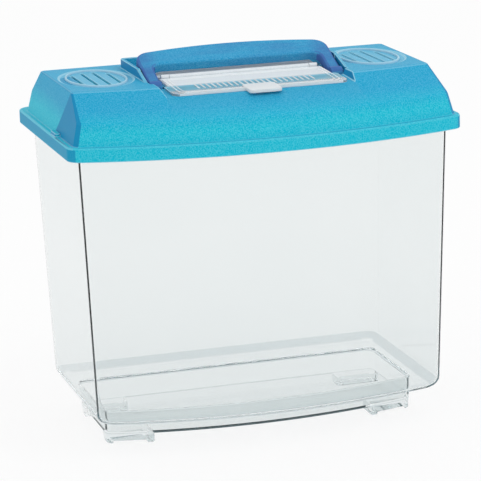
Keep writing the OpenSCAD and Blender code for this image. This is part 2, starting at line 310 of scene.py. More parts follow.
@dataclass(frozen=True)
class HazyPlastic:
    """Clear plastic whose rear turns milky, with a fine grain and a coloured strip across it.

    The mesh's own "rim" number paints a white highlight on softened edges, and "plain" leaves the strip out.
    """

    name: str
    clear_tone: Colour = linear(240, 249, 250)
    milk: Colour = linear(218, 227, 233)
    teal: Colour = linear(86, 178, 205)
    white: Colour = linear(246, 250, 252)
    clear_roughness: float = 0.05
    milky_roughness: float = 0.4
    milky_transmission: float = 0.1
    ior: float = 1.3
    strip: tuple[Point, Point] = ((-0.0525, -0.0505), (-0.0345, -0.0325))
    strip_depth: float = 0.9
    strip_share: float = 0.4
    highlight_share: float = 0.5
    clear_y: float = -0.040
    milky_y: float = -0.030
    least: float = 0.26
    most: float = 0.92

    def make(self) -> bpy.types.Material:
        """Builds the material.

        Returns:
            The material, clear in front and milky behind.
        """
        material, bench = new_material(self.name)
        clear = bench.plastic(
            {
                "Base Color": self.clear_tone,
                "Roughness": self.clear_roughness,
                "IOR": self.ior,
                "Transmission Weight": 1.0,
            }
        )
        grain, rim, along = bench.noise(900.0, 2.0), bench.painted("rim"), bench.along("Y")
        start, end = (along.between(*edge) for edge in self.strip)
        strip = start * (1.0 - end) * (1.0 - bench.painted("plain"))
        haze = bench.blend(strip * self.strip_depth, bench.blend(grain, self.milk, self.white), self.teal)
        # Painted highlights: rim faces turn white and more milky.
        milky = bench.plastic(
            {
                "Base Color": bench.blend(rim, haze, self.white),
                "Roughness": self.milky_roughness,
                "IOR": self.ior,
                "Transmission Weight": self.milky_transmission,
                "Normal": bench.bump(grain, 0.15, 0.0004),
            }
        )
        back = along.between(self.clear_y, self.milky_y) * (self.most - self.least) + self.least
        bench.surface(bench.mixed(back + rim * self.highlight_share + strip * self.strip_share, clear, milky))
        return material


@dataclass(frozen=True)
class TintedPlastic:
    """Translucent coloured plastic with a fine satin grain.

    The colour is painted lighter low down and deeper high up, as light coming through the walls. The mesh's own
    depth-and-shade number marks thick places and edge-on faces for painted shade, "side" marks the lid's side walls,
    where shade is painted beside the front corners, and "rim" marks softened edges for a painted highlight.
    """

    name: str
    # Painted light: the lighter low tone and the deeper high tone stand in for light coming through the walls.
    low_tone: Colour = linear(4, 198, 218)
    high_tone: Colour = linear(8, 166, 209)
    # Painted shade and depth: the tone of edge-on faces, thick places and shaded walls.
    deep_tone: Colour = linear(30, 138, 188)
    # Painted highlight on softened edges.
    highlight_tone: Colour = linear(158, 216, 236)
    light_grain: Colour = linear(150, 220, 240)
    dark_grain: Colour = linear(20, 120, 180)
    low: float = 0.246
    high: float = 0.260
    cloud: float = 0.3
    grain: float = 0.22
    contrast: float = 4.0
    roughness: float = 0.30
    satin: float = 0.12
    transmission: float = 0.1
    ior: float = 1.2
    sheen_level: float = 0.08
    side_shade_share: float = 0.9
    highlight_share: float = 0.8
    streaks: float = 0.0
    arms: float = 0.0
    arm_x: Point = (0.058, 0.068)
    # Where the painted shade on the lid's side walls ends: a slanting line behind the front corners.
    mitre: Point = (-0.012, -0.75)
    mitre_z: float = 0.2372
    mitre_blur: float = 0.0008

    def shade_beside_mitre(self, bench: NodeBench) -> Signal:
        """1 between the lid's front corners and a slanting line behind them, 0 further back: where shade is painted
        on the side walls.
        """
        line = (bench.along("Z") - self.mitre_z) * self.mitre[1] + self.mitre[0]
        return (line - bench.along("Y")).between(-self.mitre_blur, self.mitre_blur)

    def depth(self, bench: NodeBench) -> Signal:
        """Adds up the painted shade and depth: the mesh's own number, the shade beside the lid's front corners,
        random streaks and the handle's arms.

        Args:
            bench: the material's bench.

        Returns:
            0 where the plastic looks thin and gets no painted shade, 1 and above where it gets the most painted shade
            and depth.
        """
        # Painted shade on the lid's side walls beside the front corners.
        side = bench.painted("side") * self.shade_beside_mitre(bench)
        streak = (bench.noise(70.0, 3.0, (0.25, 1.0, 1.0)) - 0.5) * self.streaks
        # Painted shade on the handle's arms, where they lie over the lid's pockets.
        across = bench.along("X")
        arms = (across * across).between(self.arm_x[0] ** 2, self.arm_x[1] ** 2) * self.arms
        return bench.painted("deep") + side * self.side_shade_share + streak + arms

    def make(self) -> bpy.types.Material:
        """Builds the material.

        Returns:
            The material, with painted light by height, a grain, painted shade and depth, and painted highlights on
            rims.
        """
        material, bench = new_material(self.name)
        speckle = bench.noise(1100.0, 3.0)
        # Painted light: the tone runs from the lighter low tone to the deeper high tone, with random clouds.
        rise = bench.along("Z").between(self.low, self.high) + (bench.noise(60.0, 3.0) - 0.5) * self.cloud
        plain = bench.blend(rise, self.low_tone, self.high_tone)
        dark, bright = (bench.blend(self.grain, plain, tone) for tone in (self.dark_grain, self.light_grain))
        base = bench.blend((speckle - 0.5) * self.contrast + 0.5, dark, bright)
        # Painted shade and depth darken the tone towards the deeper one.
        deep = bench.blend(self.depth(bench), base, self.deep_tone)
        # Painted highlights blend the rim faces towards a pale tone.
        shader = bench.plastic(
            {
                "Base Color": bench.blend(bench.painted("rim") * self.highlight_share, deep, self.highlight_tone),
                "Roughness": speckle * self.satin + self.roughness,
                "IOR": self.ior,
                "Specular IOR Level": self.sheen_level,
                "Transmission Weight": self.transmission,
                "Normal": bench.bump(bench.noise(800.0, 2.0), 0.2, 0.0005),
            }
        )
        bench.surface(shader)
        return material


# ---------------------------------------------------------------- outlines


def heading(angle: float) -> Vector:
    """The unit step in plan towards an angle in degrees."""
    return Vector((math.cos(math.radians(angle)), math.sin(math.radians(angle)), 0.0))


def soften(corners: Sequence[Point], radii: Sequence[float], z: float, steps: int = 6) -> list[Vector]:
    """Rounds the corners of a polygon.

    Args:
        corners: the polygon, counter-clockwise, in millimetres.
        radii: the radius at each corner, 0 for a sharp one.
        z: height of the result.
        steps: pieces of each rounding.

    Returns:
        The points round the rounded polygon.
    """
    points: list[Vector] = []
    count = len(corners)
    for k, radius in enumerate(radii):
        here = Vector((*corners[k], z))
        before = (Vector((*corners[k - 1], z)) - here).normalized()
        after = (Vector((*corners[(k + 1) % count], z)) - here).normalized()
        if radius <= 0.0:
            points.append(here)
            continue
        half = before.angle(after) / 2.0
        middle = here + (before + after).normalized() * (radius / math.sin(half))
        first = (here + before * (radius / math.tan(half)) - middle).normalized()
        last = (here + after * (radius / math.tan(half)) - middle).normalized()
        for step in range(steps + 1):
            points.append(middle + radius * first.slerp(last, step / steps))
    return points


def oval(half_x: float, half_y: float, centre: Point, z: float, count: int = 64) -> list[Vector]:
    """Points round an oval, counter-clockwise."""
    turn = [2.0 * math.pi * k / count for k in range(count)]
    return [Vector((centre[0] + half_x * math.cos(t), centre[1] + half_y * math.sin(t), z)) for t in turn]


def between(first: Sequence[Vector], last: Sequence[Vector], share: float) -> list[Vector]:
    """The ring of points that lies a share of the way from one ring to another."""
    return [a.lerp(b, share) for a, b in zip(first, last)]


def eased(rings: Sequence[Sequence[Vector]], before: float, after: float, steps: int = 4) -> list[list[Vector]]:
    """Rings that ease the middle one of three into a soft bend.

    Args:
        rings: the rings before, at and after the bend.
        before: share of the way to the ring before at which the bend starts.
        after: share of the way to the ring after at which it ends.
        steps: pieces of the bend.

    Returns:
        The rings of the bend, from its start to its end.
    """
    start, end = between(rings[1], rings[0], before), between(rings[1], rings[2], after)
    out = []
    for k in range(steps + 1):
        t = k / steps
        out.append(between(between(start, rings[1], t), between(rings[1], end, t), t))
    return out


@dataclass(frozen=True)
class Outline:
    """A plan outline with a bowed front and rounded or faceted corners, in millimetres."""

    half: float
    front: float
    rear: float
    bow: float
    front_r: float
    rear_r: float
    faceted: bool = False
    arc_steps: int = 7
    facet_ease: float = 0.2

    def _radius(self) -> float:
        """Radius of the bowed front."""
        return (self.half**2 + self.bow**2) / (2.0 * self.bow)

    def __sub__(self, inset: float) -> "Outline":
        """Moves the outline inwards all round.

        Args:
            inset: how far it moves.

        Returns:
            The smaller outline, whose bow and corners stay parallel to this one's.
        """
        radius = self._radius() - inset
        half = self.half - inset
        return replace(
            self,
            half=half,
            front=self.front + inset,
            rear=self.rear - inset,
            bow=radius - math.sqrt(radius**2 - half**2),
            front_r=max(self.front_r - inset, 1.0),
            rear_r=max(self.rear_r - inset, 1.0),
        )

    def __add__(self, growth: float) -> "Outline":
        """The outline moved outwards all round."""
        return self - (-growth)

    def with_corners(self, front_r: float, rear_r: float) -> "Outline":
        """The same outline with other corner radii."""
        return replace(self, front_r=front_r, rear_r=rear_r)

    def _corner(self, centre: Vector, radius: float, first: float, last: float) -> list[Vector]:
        """Points round one corner.

        Args:
            centre: centre of the corner's arc.
            radius: radius of the corner's arc.
            first: angle at which the arc starts, in degrees.
            last: angle at which it ends.

        Returns:
            Eight points on the arc, or on a facet that touches its middle.
        """
        if not self.faceted:
            turns = [first + (last - first) * k / self.arc_steps for k in range(self.arc_steps + 1)]
            return [centre + radius * heading(turn) for turn in turns]
        middle = (first + last) / 2.0
        reach = radius * math.tan(math.radians((last - first) / 4.0))
        ends = (
            (centre + radius * heading(first) + reach * heading(first + 90.0), first, middle),
            (centre + radius * heading(last) - reach * heading(last + 90.0), middle, last),
        )
        points = [centre + radius * heading(first)]
        for edge, low, high in ends:
            ease = self.facet_ease * radius
            around = edge - ease * (heading(low) + heading(high)) / (1.0 + math.cos(math.radians(high - low)))
            points += [around + ease * heading(a) for a in (low, (low + high) / 2.0, high)]
        return points + [centre + radius * heading(last)]

    def points(self, z: float, front_steps: int = 30) -> list[Vector]:
        """Points round the outline, counter-clockwise from the left end of the front.

        Args:
            z: height of the points.
            front_steps: pieces of the bowed front.

        Returns:
            The points, in the same number for every outline.
        """
        radius = self._radius()
        mid_y = self.front + radius
        side, back = self.half - self.front_r, self.half - self.rear_r
        front_y = mid_y - math.sqrt((radius - self.front_r) ** 2 - side**2)
        rear_y = self.rear - self.rear_r
        lean = math.degrees(math.atan2(front_y - mid_y, side))
        swing = [-180.0 - lean + (180.0 + 2.0 * lean) * k / front_steps for k in range(1, front_steps)]
        points = [Vector((0.0, mid_y, 0.0)) + radius * heading(a) for a in swing]
        corners = (
            (side, front_y, self.front_r, lean, 0.0),
            (back, rear_y, self.rear_r, 0.0, 90.0),
            (-back, rear_y, self.rear_r, 90.0, 180.0),
            (-side, front_y, self.front_r, 180.0, 180.0 - lean),
        )
        for x, y, corner_r, first, last in corners:
            points += self._corner(Vector((x, y, 0.0)), corner_r, first, last)
        return [Vector((p.x, p.y, z)) for p in points]


# ---------------------------------------------------------------- modelling


def rest() -> None:
    """Leaves edit mode and deselects everything."""
    if bpy.context.object is not None and bpy.context.object.mode != "OBJECT":
        bpy.ops.object.mode_set(mode="OBJECT")
    bpy.ops.object.select_all(action="DESELECT")


class Workpiece:
    """One mesh that is shaped with modelling operators. Lengths are in millimetres."""

    def __init__(self, name: str) -> None:
        """Names a piece that a start method then makes."""
        self.name = name
        self.end: list[int] = []

    def _hold(self) -> None:
        """Selects this piece alone and makes it the active one."""
        rest()
        self.obj.select_set(True)
        bpy.context.view_layer.objects.active = self.obj

    def _take(self) -> "Workpiece":
        """Keeps the new primitive under the piece's name, with its place in its mesh.

        Returns:
            The piece itself.
        """
        self.obj = bpy.context.active_object
        self.obj.name = self.obj.data.name = self.name
        bpy.ops.object.transform_apply(location=True, rotation=True, scale=True)
        rest()
        return self

    @contextmanager
    def editing(self) -> Iterator[None]:
        """Opens this piece alone in edit mode.

        Returns:
            A block during which edit mode lasts.
        """
        self._hold()
        bpy.ops.object.mode_set(mode="EDIT")
        bpy.ops.mesh.select_mode(type="VERT")
        yield
        rest()

    def _corners(self) -> bmesh.types.BMesh:
        """Reads the mesh in edit mode.

        Returns:
            The mesh, with its corners ready to be looked up by number.
        """
        mesh = bmesh.from_edit_mesh(self.obj.data)
        mesh.verts.ensure_lookup_table()
        return mesh

    def _pick(self, corners: Sequence[int]) -> None:
        """Selects corners, and the faces that they close.

        Args:
            corners: numbers of the corners.
        """
        bpy.ops.mesh.select_all(action="DESELECT")
        mesh = self._corners()
        for index in corners:
            mesh.verts[index].select = True
        mesh.select_flush(True)
        bmesh.update_edit_mesh(self.obj.data)

    def _settle(self, corners: Sequence[int], places: Sequence[Vector]) -> None:
        """Moves corners to their places, those with the same step together.

        Args:
            corners: numbers of the corners.
            places: a place for each corner.
        """
        steps: dict[tuple[float, ...], list[int]] = {}
        mesh = self._corners()
        for index, place in zip(corners, places):
            step = tuple(round(c, 8) for c in place * MM - mesh.verts[index].co)
            if any(step):
                steps.setdefault(step, []).append(index)
        for step, group in steps.items():
            self._pick(group)
            bpy.ops.transform.translate(value=step)

    def plate(self, points: Sequence[Vector]) -> "Workpiece":
        """Starts as a flat face: a filled circle whose corners are moved to the points.

        Args:
            points: the face's corners.

        Returns:
            The piece itself.
        """
        rest()
        bpy.ops.mesh.primitive_circle_add(vertices=len(points), radius=0.1, fill_type="NGON")
        self._take()
        self.end = list(range(len(points)))
        with self.editing():
            self._settle(self.end, points)
        return self

    def rise(self, *rings: Sequence[Vector]) -> "Workpiece":
        """Extrudes the end face once for each ring.

        Args:
            rings: the places of the end face's corners after each extrusion.

        Returns:
            The piece itself.
        """
        with self.editing():
            for ring in rings:
                self._pick(self.end)
                old = self._corners()
                spots = {tuple(old.verts[index].co): k for k, index in enumerate(self.end)}
                bpy.ops.mesh.extrude_region_move(TRANSFORM_OT_translate={"value": (0.0, 0.0, 0.0)})
                new = bmesh.from_edit_mesh(self.obj.data)
                corners = sorted((v for v in new.verts if v.select), key=lambda v: spots[tuple(v.co)])
                self.end = [v.index for v in corners]
                self._settle(self.end, ring)
        return self

    def solid(self, *rings: Sequence[Vector]) -> "Workpiece":
        """Makes a closed solid that runs through rings of points, from the lowest to the highest."""
        return self.plate(rings[0]).rise(*rings[1:]).outward()

    def outward(self) -> "Workpiece":
        """Turns the faces of a closed piece outwards.

        Returns:
            The piece itself.
        """
        with self.editing():
            bpy.ops.mesh.select_all(action="SELECT")
            bpy.ops.mesh.normals_make_consistent(inside=False)
        return self

    def open_end(self) -> "Workpiece":
        """Takes the end face away.

        Returns:
            The piece itself.
        """
        with self.editing():
            self._pick(self.end)
            bpy.ops.mesh.delete(type="ONLY_FACE")
        return self

    def block(self, low: Sequence[float], high: Sequence[float], corner_r: float = 0.0) -> "Workpiece":
        """Starts as a box.

        Args:
            low: the corner with the least coordinates.
            high: the corner opposite.
            corner_r: radius of the upright edges.

        Returns:
            The piece itself.
        """
        rest()
        middle = [(a + b) / 2.0 * MM for a, b in zip(low, high)]
        size = [(b - a) * MM for a, b in zip(low, high)]
        bpy.ops.mesh.primitive_cube_add(size=1.0, location=middle, scale=size)
        self._take()
        if corner_r > 0.0:
            with self.editing():
                bpy.ops.mesh.select_mode(type="EDGE")
                bpy.ops.mesh.select_all(action="DESELECT")
                mesh = bmesh.from_edit_mesh(self.obj.data)
                for edge in mesh.edges:
                    run = edge.verts[0].co - edge.verts[1].co
                    edge.select = abs(run.z) > 0.99 * run.length
                bmesh.update_edit_mesh(self.obj.data)
                bpy.ops.mesh.bevel(offset=corner_r * MM, segments=6, affect="EDGES")
        return self

    def rod(self, radius: float, start: Sequence[float], length: float, sides: int = 48) -> "Workpiece":
        """Starts as a round rod along +X.

        Args:
            radius: radius of the rod.
            start: middle of its left end.
            length: its length.
            sides: how many flats stand for the round.

        Returns:
            The piece itself.
        """
        rest()
        middle = [(start[0] + length / 2.0) * MM, start[1] * MM, start[2] * MM]
        bpy.ops.mesh.primitive_cylinder_add(
            vertices=sides, radius=radius * MM, depth=length * MM, location=middle, rotation=(0.0, math.pi / 2.0, 0.0)
        )
        return self._take()

    def tilt(self, degrees: float, origin: Sequence[float]) -> "Workpiece":
        """Tilts the piece about X and moves it.

        Args:
            degrees: the tilt, which lowers the front.
            origin: where the piece's zero comes to stand.

        Returns:
            The piece itself.
        """
        self._hold()
        self.obj.rotation_euler = (math.radians(degrees), 0.0, 0.0)
        self.obj.location = Vector(origin) * MM
        bpy.ops.object.transform_apply(location=True, rotation=True, scale=True)
        return self

    def copy(self, name: str, flip: bool = False) -> "Workpiece":
        """Makes another piece with its own mesh.

        Args:
            name: name of the new piece.
            flip: True for a mirror image across x = 0.

        Returns:
            The new piece.
        """
        self._hold()
        bpy.ops.object.duplicate()
        twin = Workpiece(name)
        if flip:
            bpy.context.active_object.scale = (-1.0, 1.0, 1.0)
        twin._take()
        return twin.outward() if flip else twin

    def refine(self, kind: str, **settings: object) -> "Workpiece":
        """Adds a modifier and applies it.

        Args:
            kind: the modifier's Blender type.
            settings: its properties.

        Returns:
            The piece itself.
        """
        self._hold()
        modifier = self.obj.modifiers.new(kind.lower(), kind)
        for key, value in settings.items():
            setattr(modifier, key, value)
        bpy.ops.object.modifier_apply(modifier=modifier.name)
        return self

    def _combine(self, tool: "Workpiece", operation: str) -> "Workpiece":
        """Joins, cuts or trims this piece with another, which is used up.

        Args:
            tool: the other piece.
            operation: UNION, DIFFERENCE or INTERSECT.

        Returns:
            The piece itself.
        """
        self.refine("BOOLEAN", operation=operation, object=tool.obj, solver="EXACT")
        bpy.data.objects.remove(tool.obj)
        return self

    def __isub__(self, tool: "Workpiece") -> "Workpiece":
        """Cuts the tool away."""
        return self._combine(tool, "DIFFERENCE")

    def __iadd__(self, tool: "Workpiece") -> "Workpiece":
        """Joins the other piece on."""
        return self._combine(tool, "UNION")

    def __iand__(self, tool: "Workpiece") -> "Workpiece":
        """Keeps what the other piece covers."""
        return self._combine(tool, "INTERSECT")

    def round_edges(self, width: float, segments: int = 2, angle: float = 38.0) -> "Workpiece":
        """Softens sharp edges, and marks the new faces as rims.

        Args:
            width: width of the softening.
            segments: faces across it.
            angle: the angle in degrees above which an edge counts as sharp.

        Returns:
            The piece itself.
        """
        while len(self.obj.data.materials) < 2:
            self.obj.data.materials.append(None)
        return self.refine(
            "BEVEL",
            width=width * MM,
            segments=segments,
            limit_method="ANGLE",
            angle_limit=math.radians(angle),
            use_clamp_overlap=False,
            material=1,
        )

    def mark(self, name: str, rule: Callable[[Vector, Vector, bool], float]) -> "Workpiece":
        """Keeps a number on each face.

        Args:
            name: name of the number.
            rule: gives it from the face's middle in millimetres, its normal and whether it is a rim.

        Returns:
            The piece itself.
        """
        mesh = self.obj.data
        values: list[float] = []
        for face in mesh.polygons:
            values += [rule(face.center / MM, face.normal, face.material_index == 1)] * face.loop_total
        mesh.attributes.new(name, "FLOAT", "CORNER").data.foreach_set("value", values)
        return self

    def paint(self, name: str, value: float) -> "Workpiece":
        """Keeps the same number on all faces."""
        return self.mark(name, lambda middle, normal, rim: value)

    def smooth(self, angle: float = 30.0) -> "Workpiece":
        """Shades the piece smooth.

        Args:
            angle: the angle in degrees above which an edge stays sharp.

        Returns:
            The piece itself.
        """
        self._hold()
        bpy.ops.object.shade_smooth_by_angle(angle=math.radians(angle))
        return self.refine("WEIGHTED_NORMAL", keep_sharp=True, weight=75)

    def dress(self, material: bpy.types.Material, body: Body, slot: Slot, *nodes: str) -> None:
        """Gives the piece its finish and its body.

        Args:
            material: the finish.
            body: the body that it rides on.
            slot: the record's material slot, which is not used.
            nodes: the solids that it stands for.
        """
        mesh = self.obj.data
        for face in mesh.polygons:
            face.material_index = 0
        mesh.materials.clear()
        mesh.materials.append(material)
        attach(self.obj, body.value)
        if nodes:
            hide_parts(*nodes)
        log.info("%s: %d faces on %s", self.name, len(mesh.polygons), body.value)


def both_sides(*pieces: Workpiece) -> list[Workpiece]:
    """The right-hand pieces, and after them their mirror images."""
    return [*pieces, *(piece.copy(f"{piece.name}_twin", flip=True) for piece in pieces)]


def span(side: float, near: float, far: float) -> Point:
    """Two distances from the middle as x, the lower first, on the side whose sign is given."""
    return (near, far) if side > 0.0 else (-far, -near)


# ---------------------------------------------------------------- the keeper


@dataclass(frozen=True)
class Plan:
    """Sizes and outlines that the pieces share, in millimetres."""

    lid_w: float = 300.0
    side_d: float = 181.0
    front_bow: float = 27.0
    rim_z: float = 235.0
    lid_t: float = 2.2
    tank_t: float = 2.0
    foot_h: float = 7.0
    pan_h: float = 17.0
    ledge_w: float = 4.5
    crease_in: float = 4.0
    crease_rise: float = 16.0
    plateau_rise: float = 17.5
    plateau_half: float = 137.5
    plateau_run: Point = (156.0, 38.0)
    plateau_bow: float = 15.0
    tank_gap: float = 9.0
    tank_taper: float = 6.5
    flange_gap: float = 2.7
    pan_half: float = 121.5
    pan_d: float = 106.0
    pan_back: float = 32.0
    pan_bow: float = 18.0
    pocket_out: float = 76.0
    arm_out: float = 75.0
    arm_in: float = 65.5
    arm_t: float = 8.0
    fold: float = 22.5
    axis: Point = (-20.0, 264.7)
    lip: Point = (-64.0, 265.2)
    well_rear: float = 50.0
    well_tilt: float = 2.0
    hinge: Point = (62.0, 2.4)
    hatch_half: float = 63.0
    eye_r: float = 2.1
    pane_t: float = 2.0

    @property
    def half_d(self) -> float:
        """Half of the lid's depth."""
        return (self.side_d + self.front_bow) / 2.0

    @property
    def band(self) -> Outline:
        """The lid's band."""
        return Outline(self.lid_w / 2.0, -self.half_d, self.half_d, self.front_bow, 12.0, 12.0)

    @property
    def shelf_z(self) -> float:
        """Top of the lid's ledge."""
        return self.rim_z + self.lid_t

    @property
    def crease_z(self) -> float:
        """The bend in the lid's wall."""
        return self.shelf_z + self.crease_rise

    @property
    def plateau_z(self) -> float:
        """Top of the lid."""
        return self.crease_z + self.plateau_rise

    @property
    def wall_foot(self) -> Outline:
        """Foot of the lid's wall."""
        return replace((self.band - self.ledge_w).with_corners(8.0, 24.0), faceted=True)

    @property
    def crease(self) -> Outline:
        """The lid's wall at its bend."""
        return (self.wall_foot - self.crease_in).with_corners(7.0, 20.0)

    @property
    def plateau(self) -> Outline:
        """The lid's flat top."""
        front, rear = (self.half_d - run for run in self.plateau_run)
        return Outline(self.plateau_half, front, rear, self.plateau_bow, 3.0, 3.0, True)

    @property
    def tank_top(self) -> Outline:
        """The tank's outside at its rim."""
        return (self.band - self.tank_gap).with_corners(10.0, 10.0)

    @property
    def tank_low(self) -> Outline:
        """The tank's outside at its floor."""
        return (self.tank_top - self.tank_taper).with_corners(10.0, 10.0)

    @property
    def flange(self) -> Outline:
        """The tank's rim flange."""
        return self.band - self.flange_gap

    @property
    def pan(self) -> Outline:
        """The sunken pan."""
        rear = self.tank_low.rear - self.pan_back
        return Outline(self.pan_half, rear - self.pan_d, rear, self.pan_bow, 7.0, 7.0)

    @property
    def well_len(self) -> float:
        """Length of the well's floor."""
        return (self.well_rear - self.lip[0]) / math.cos(math.radians(self.well_tilt))

    def on_floor(self, piece: Workpiece) -> Workpiece:
        """Moves a piece from the well floor's own frame to its place."""
        return piece.tilt(self.well_tilt, (0.0, *self.lip))


def rolled(outline: Outline, z: float, radius: float, steps: int = 6) -> list[list[Vector]]:
    """Rings that roll an outline's lower edge up.

    Args:
        outline: the outline above the rolled edge.
        z: height at which the edge starts.
        radius: radius of the edge.
        steps: pieces of the edge.

    Returns:
        The rings, from the lowest to the highest.
    """
    rings = []
    for k in range(steps + 1):
        turn = math.pi / 2.0 * k / steps
        shape = (outline - radius * (1.0 - math.sin(turn))).with_corners(outline.front_r, outline.rear_r)
        rings.append(shape.points(z + radius * (1.0 - math.cos(turn))))
    return rings


@dataclass
class Tank:
    """The clear tank: tapered walls, rim flange, sunken pan and four feet."""

    plan: Plan
    floor_r: float = 9.0
    pan_r: float = 1.5
    pan_lead: float = 0.8
    neck: Point = (1.6, 1.2)
    flange_edge: float = 0.35
    foot_w: float = 33.0
    foot_d: float = 14.0
    foot_wall: float = 5.0
    foot_thin: float = 2.5
    rim_gap: float = 0.05

    def shell(self) -> Workpiece:
        """Raises the outside from the pan's bottom to the flange, then gives it a wall.

        Returns:
            The tank without its feet.
        """
        p = self.plan
        ledge_z, top = p.foot_h + p.pan_h, p.rim_z - p.tank_t - self.rim_gap
        lead, (neck_h, neck_w), edge = self.pan_lead, self.neck, self.flange_edge
        rings = rolled(p.pan, p.foot_h, self.pan_r)
        rings += [p.pan.points(ledge_z - lead), (p.pan + lead).points(ledge_z)]
        rings += rolled(p.tank_low, ledge_z, self.floor_r)
        rings += [p.tank_top.points(top - neck_h), (p.tank_top + neck_w).points(top)]
        rings += [(p.flange - edge).points(top), p.flange.points(top + edge)]
        piece = Workpiece("tank_shell").solid(*rings).open_end()
        return piece.refine("SOLIDIFY", thickness=p.tank_t * MM, offset=-1.0, use_even_offset=True)

    def foot(self, front: bool) -> Workpiece:
        """The right-hand foot at the front or the rear of the pan.

        Args:
            front: True for the foot under the bowed front.

        Returns:
            The foot, sunk a little into the pan's bottom.
        """
        p, thin, wall = self.plan, self.foot_thin, self.foot_wall
        ends = (p.pan - 1.0).points(0.0, 60), (p.pan - 0.1).points(p.foot_h + 1.0, 60)
        piece = Workpiece("foot").solid(*ends)
        inner_x = p.pan.half - self.foot_w - 2.0
        start_y = p.pan.front - 5.0 if front else p.pan.rear - self.foot_d
        end_y = p.pan.front + self.foot_d + p.pan.bow if front else p.pan.rear + 5.0
        piece &= Workpiece("foot_room").block((inner_x, start_y, -1.0), (p.pan.half + 5.0, end_y, p.foot_h + 5.0))
        low = (inner_x + wall, start_y + (12.0 if front else thin), -1.0)
        high = (p.pan.half - wall, end_y - (thin if front else 7.5), 2.0)
        piece -= Workpiece("foot_hollow").block(low, high, 1.5)
        return piece.round_edges(0.5, 2, 50.0)

    def edge(self, middle: Vector, normal: Vector, rim: bool) -> float:
        """How much painted refraction line the plastic gets where it is thick or bent: the feet, the floor's step,
        its rolled corner and the rim.

        Args:
            middle: the face's middle.
            normal: its normal.
            rim: True for a softened edge.

        Returns:
            0 for a plain wall, and more for thicker plastic with stronger painted lines.
        """
        p = self.plan
        floor = p.foot_h + p.pan_h
        upright = abs(normal.z) < 0.95
        if middle.z < p.foot_h + 0.01 and upright or middle.z < p.foot_h - 0.5:
            return 0.5 if middle.y < 0.0 else 0.1
        if middle.z < p.foot_h + self.pan_r and abs(normal.z) < 0.97:
            return 1.6
        step = floor - 1.2 < middle.z < floor + p.tank_t + 0.2 and upright
        rolled_floor = floor < middle.z < floor + self.floor_r and 0.25 < abs(normal.z) and upright
        if rolled_floor and middle.y > 0.0:
            return 0.9
        return 1.0 if step or rim else 0.4 if rolled_floor or middle.z > p.rim_z - 3.0 else 0.0

    def build(self, clear: bpy.types.Material) -> None:
        """Builds and dresses the tank.

        Args:
            clear: its finish.
        """
        tank = self.shell()
        for front in (True, False):
            for foot in both_sides(self.foot(front)):
                tank += foot
        # Painted refraction lines on the tank's thick and bent places.
        tank.mark("edge", self.edge)
        tank.smooth(28.0).dress(clear, Body.TANK, Slot.CLEAR_TANK, "tank")


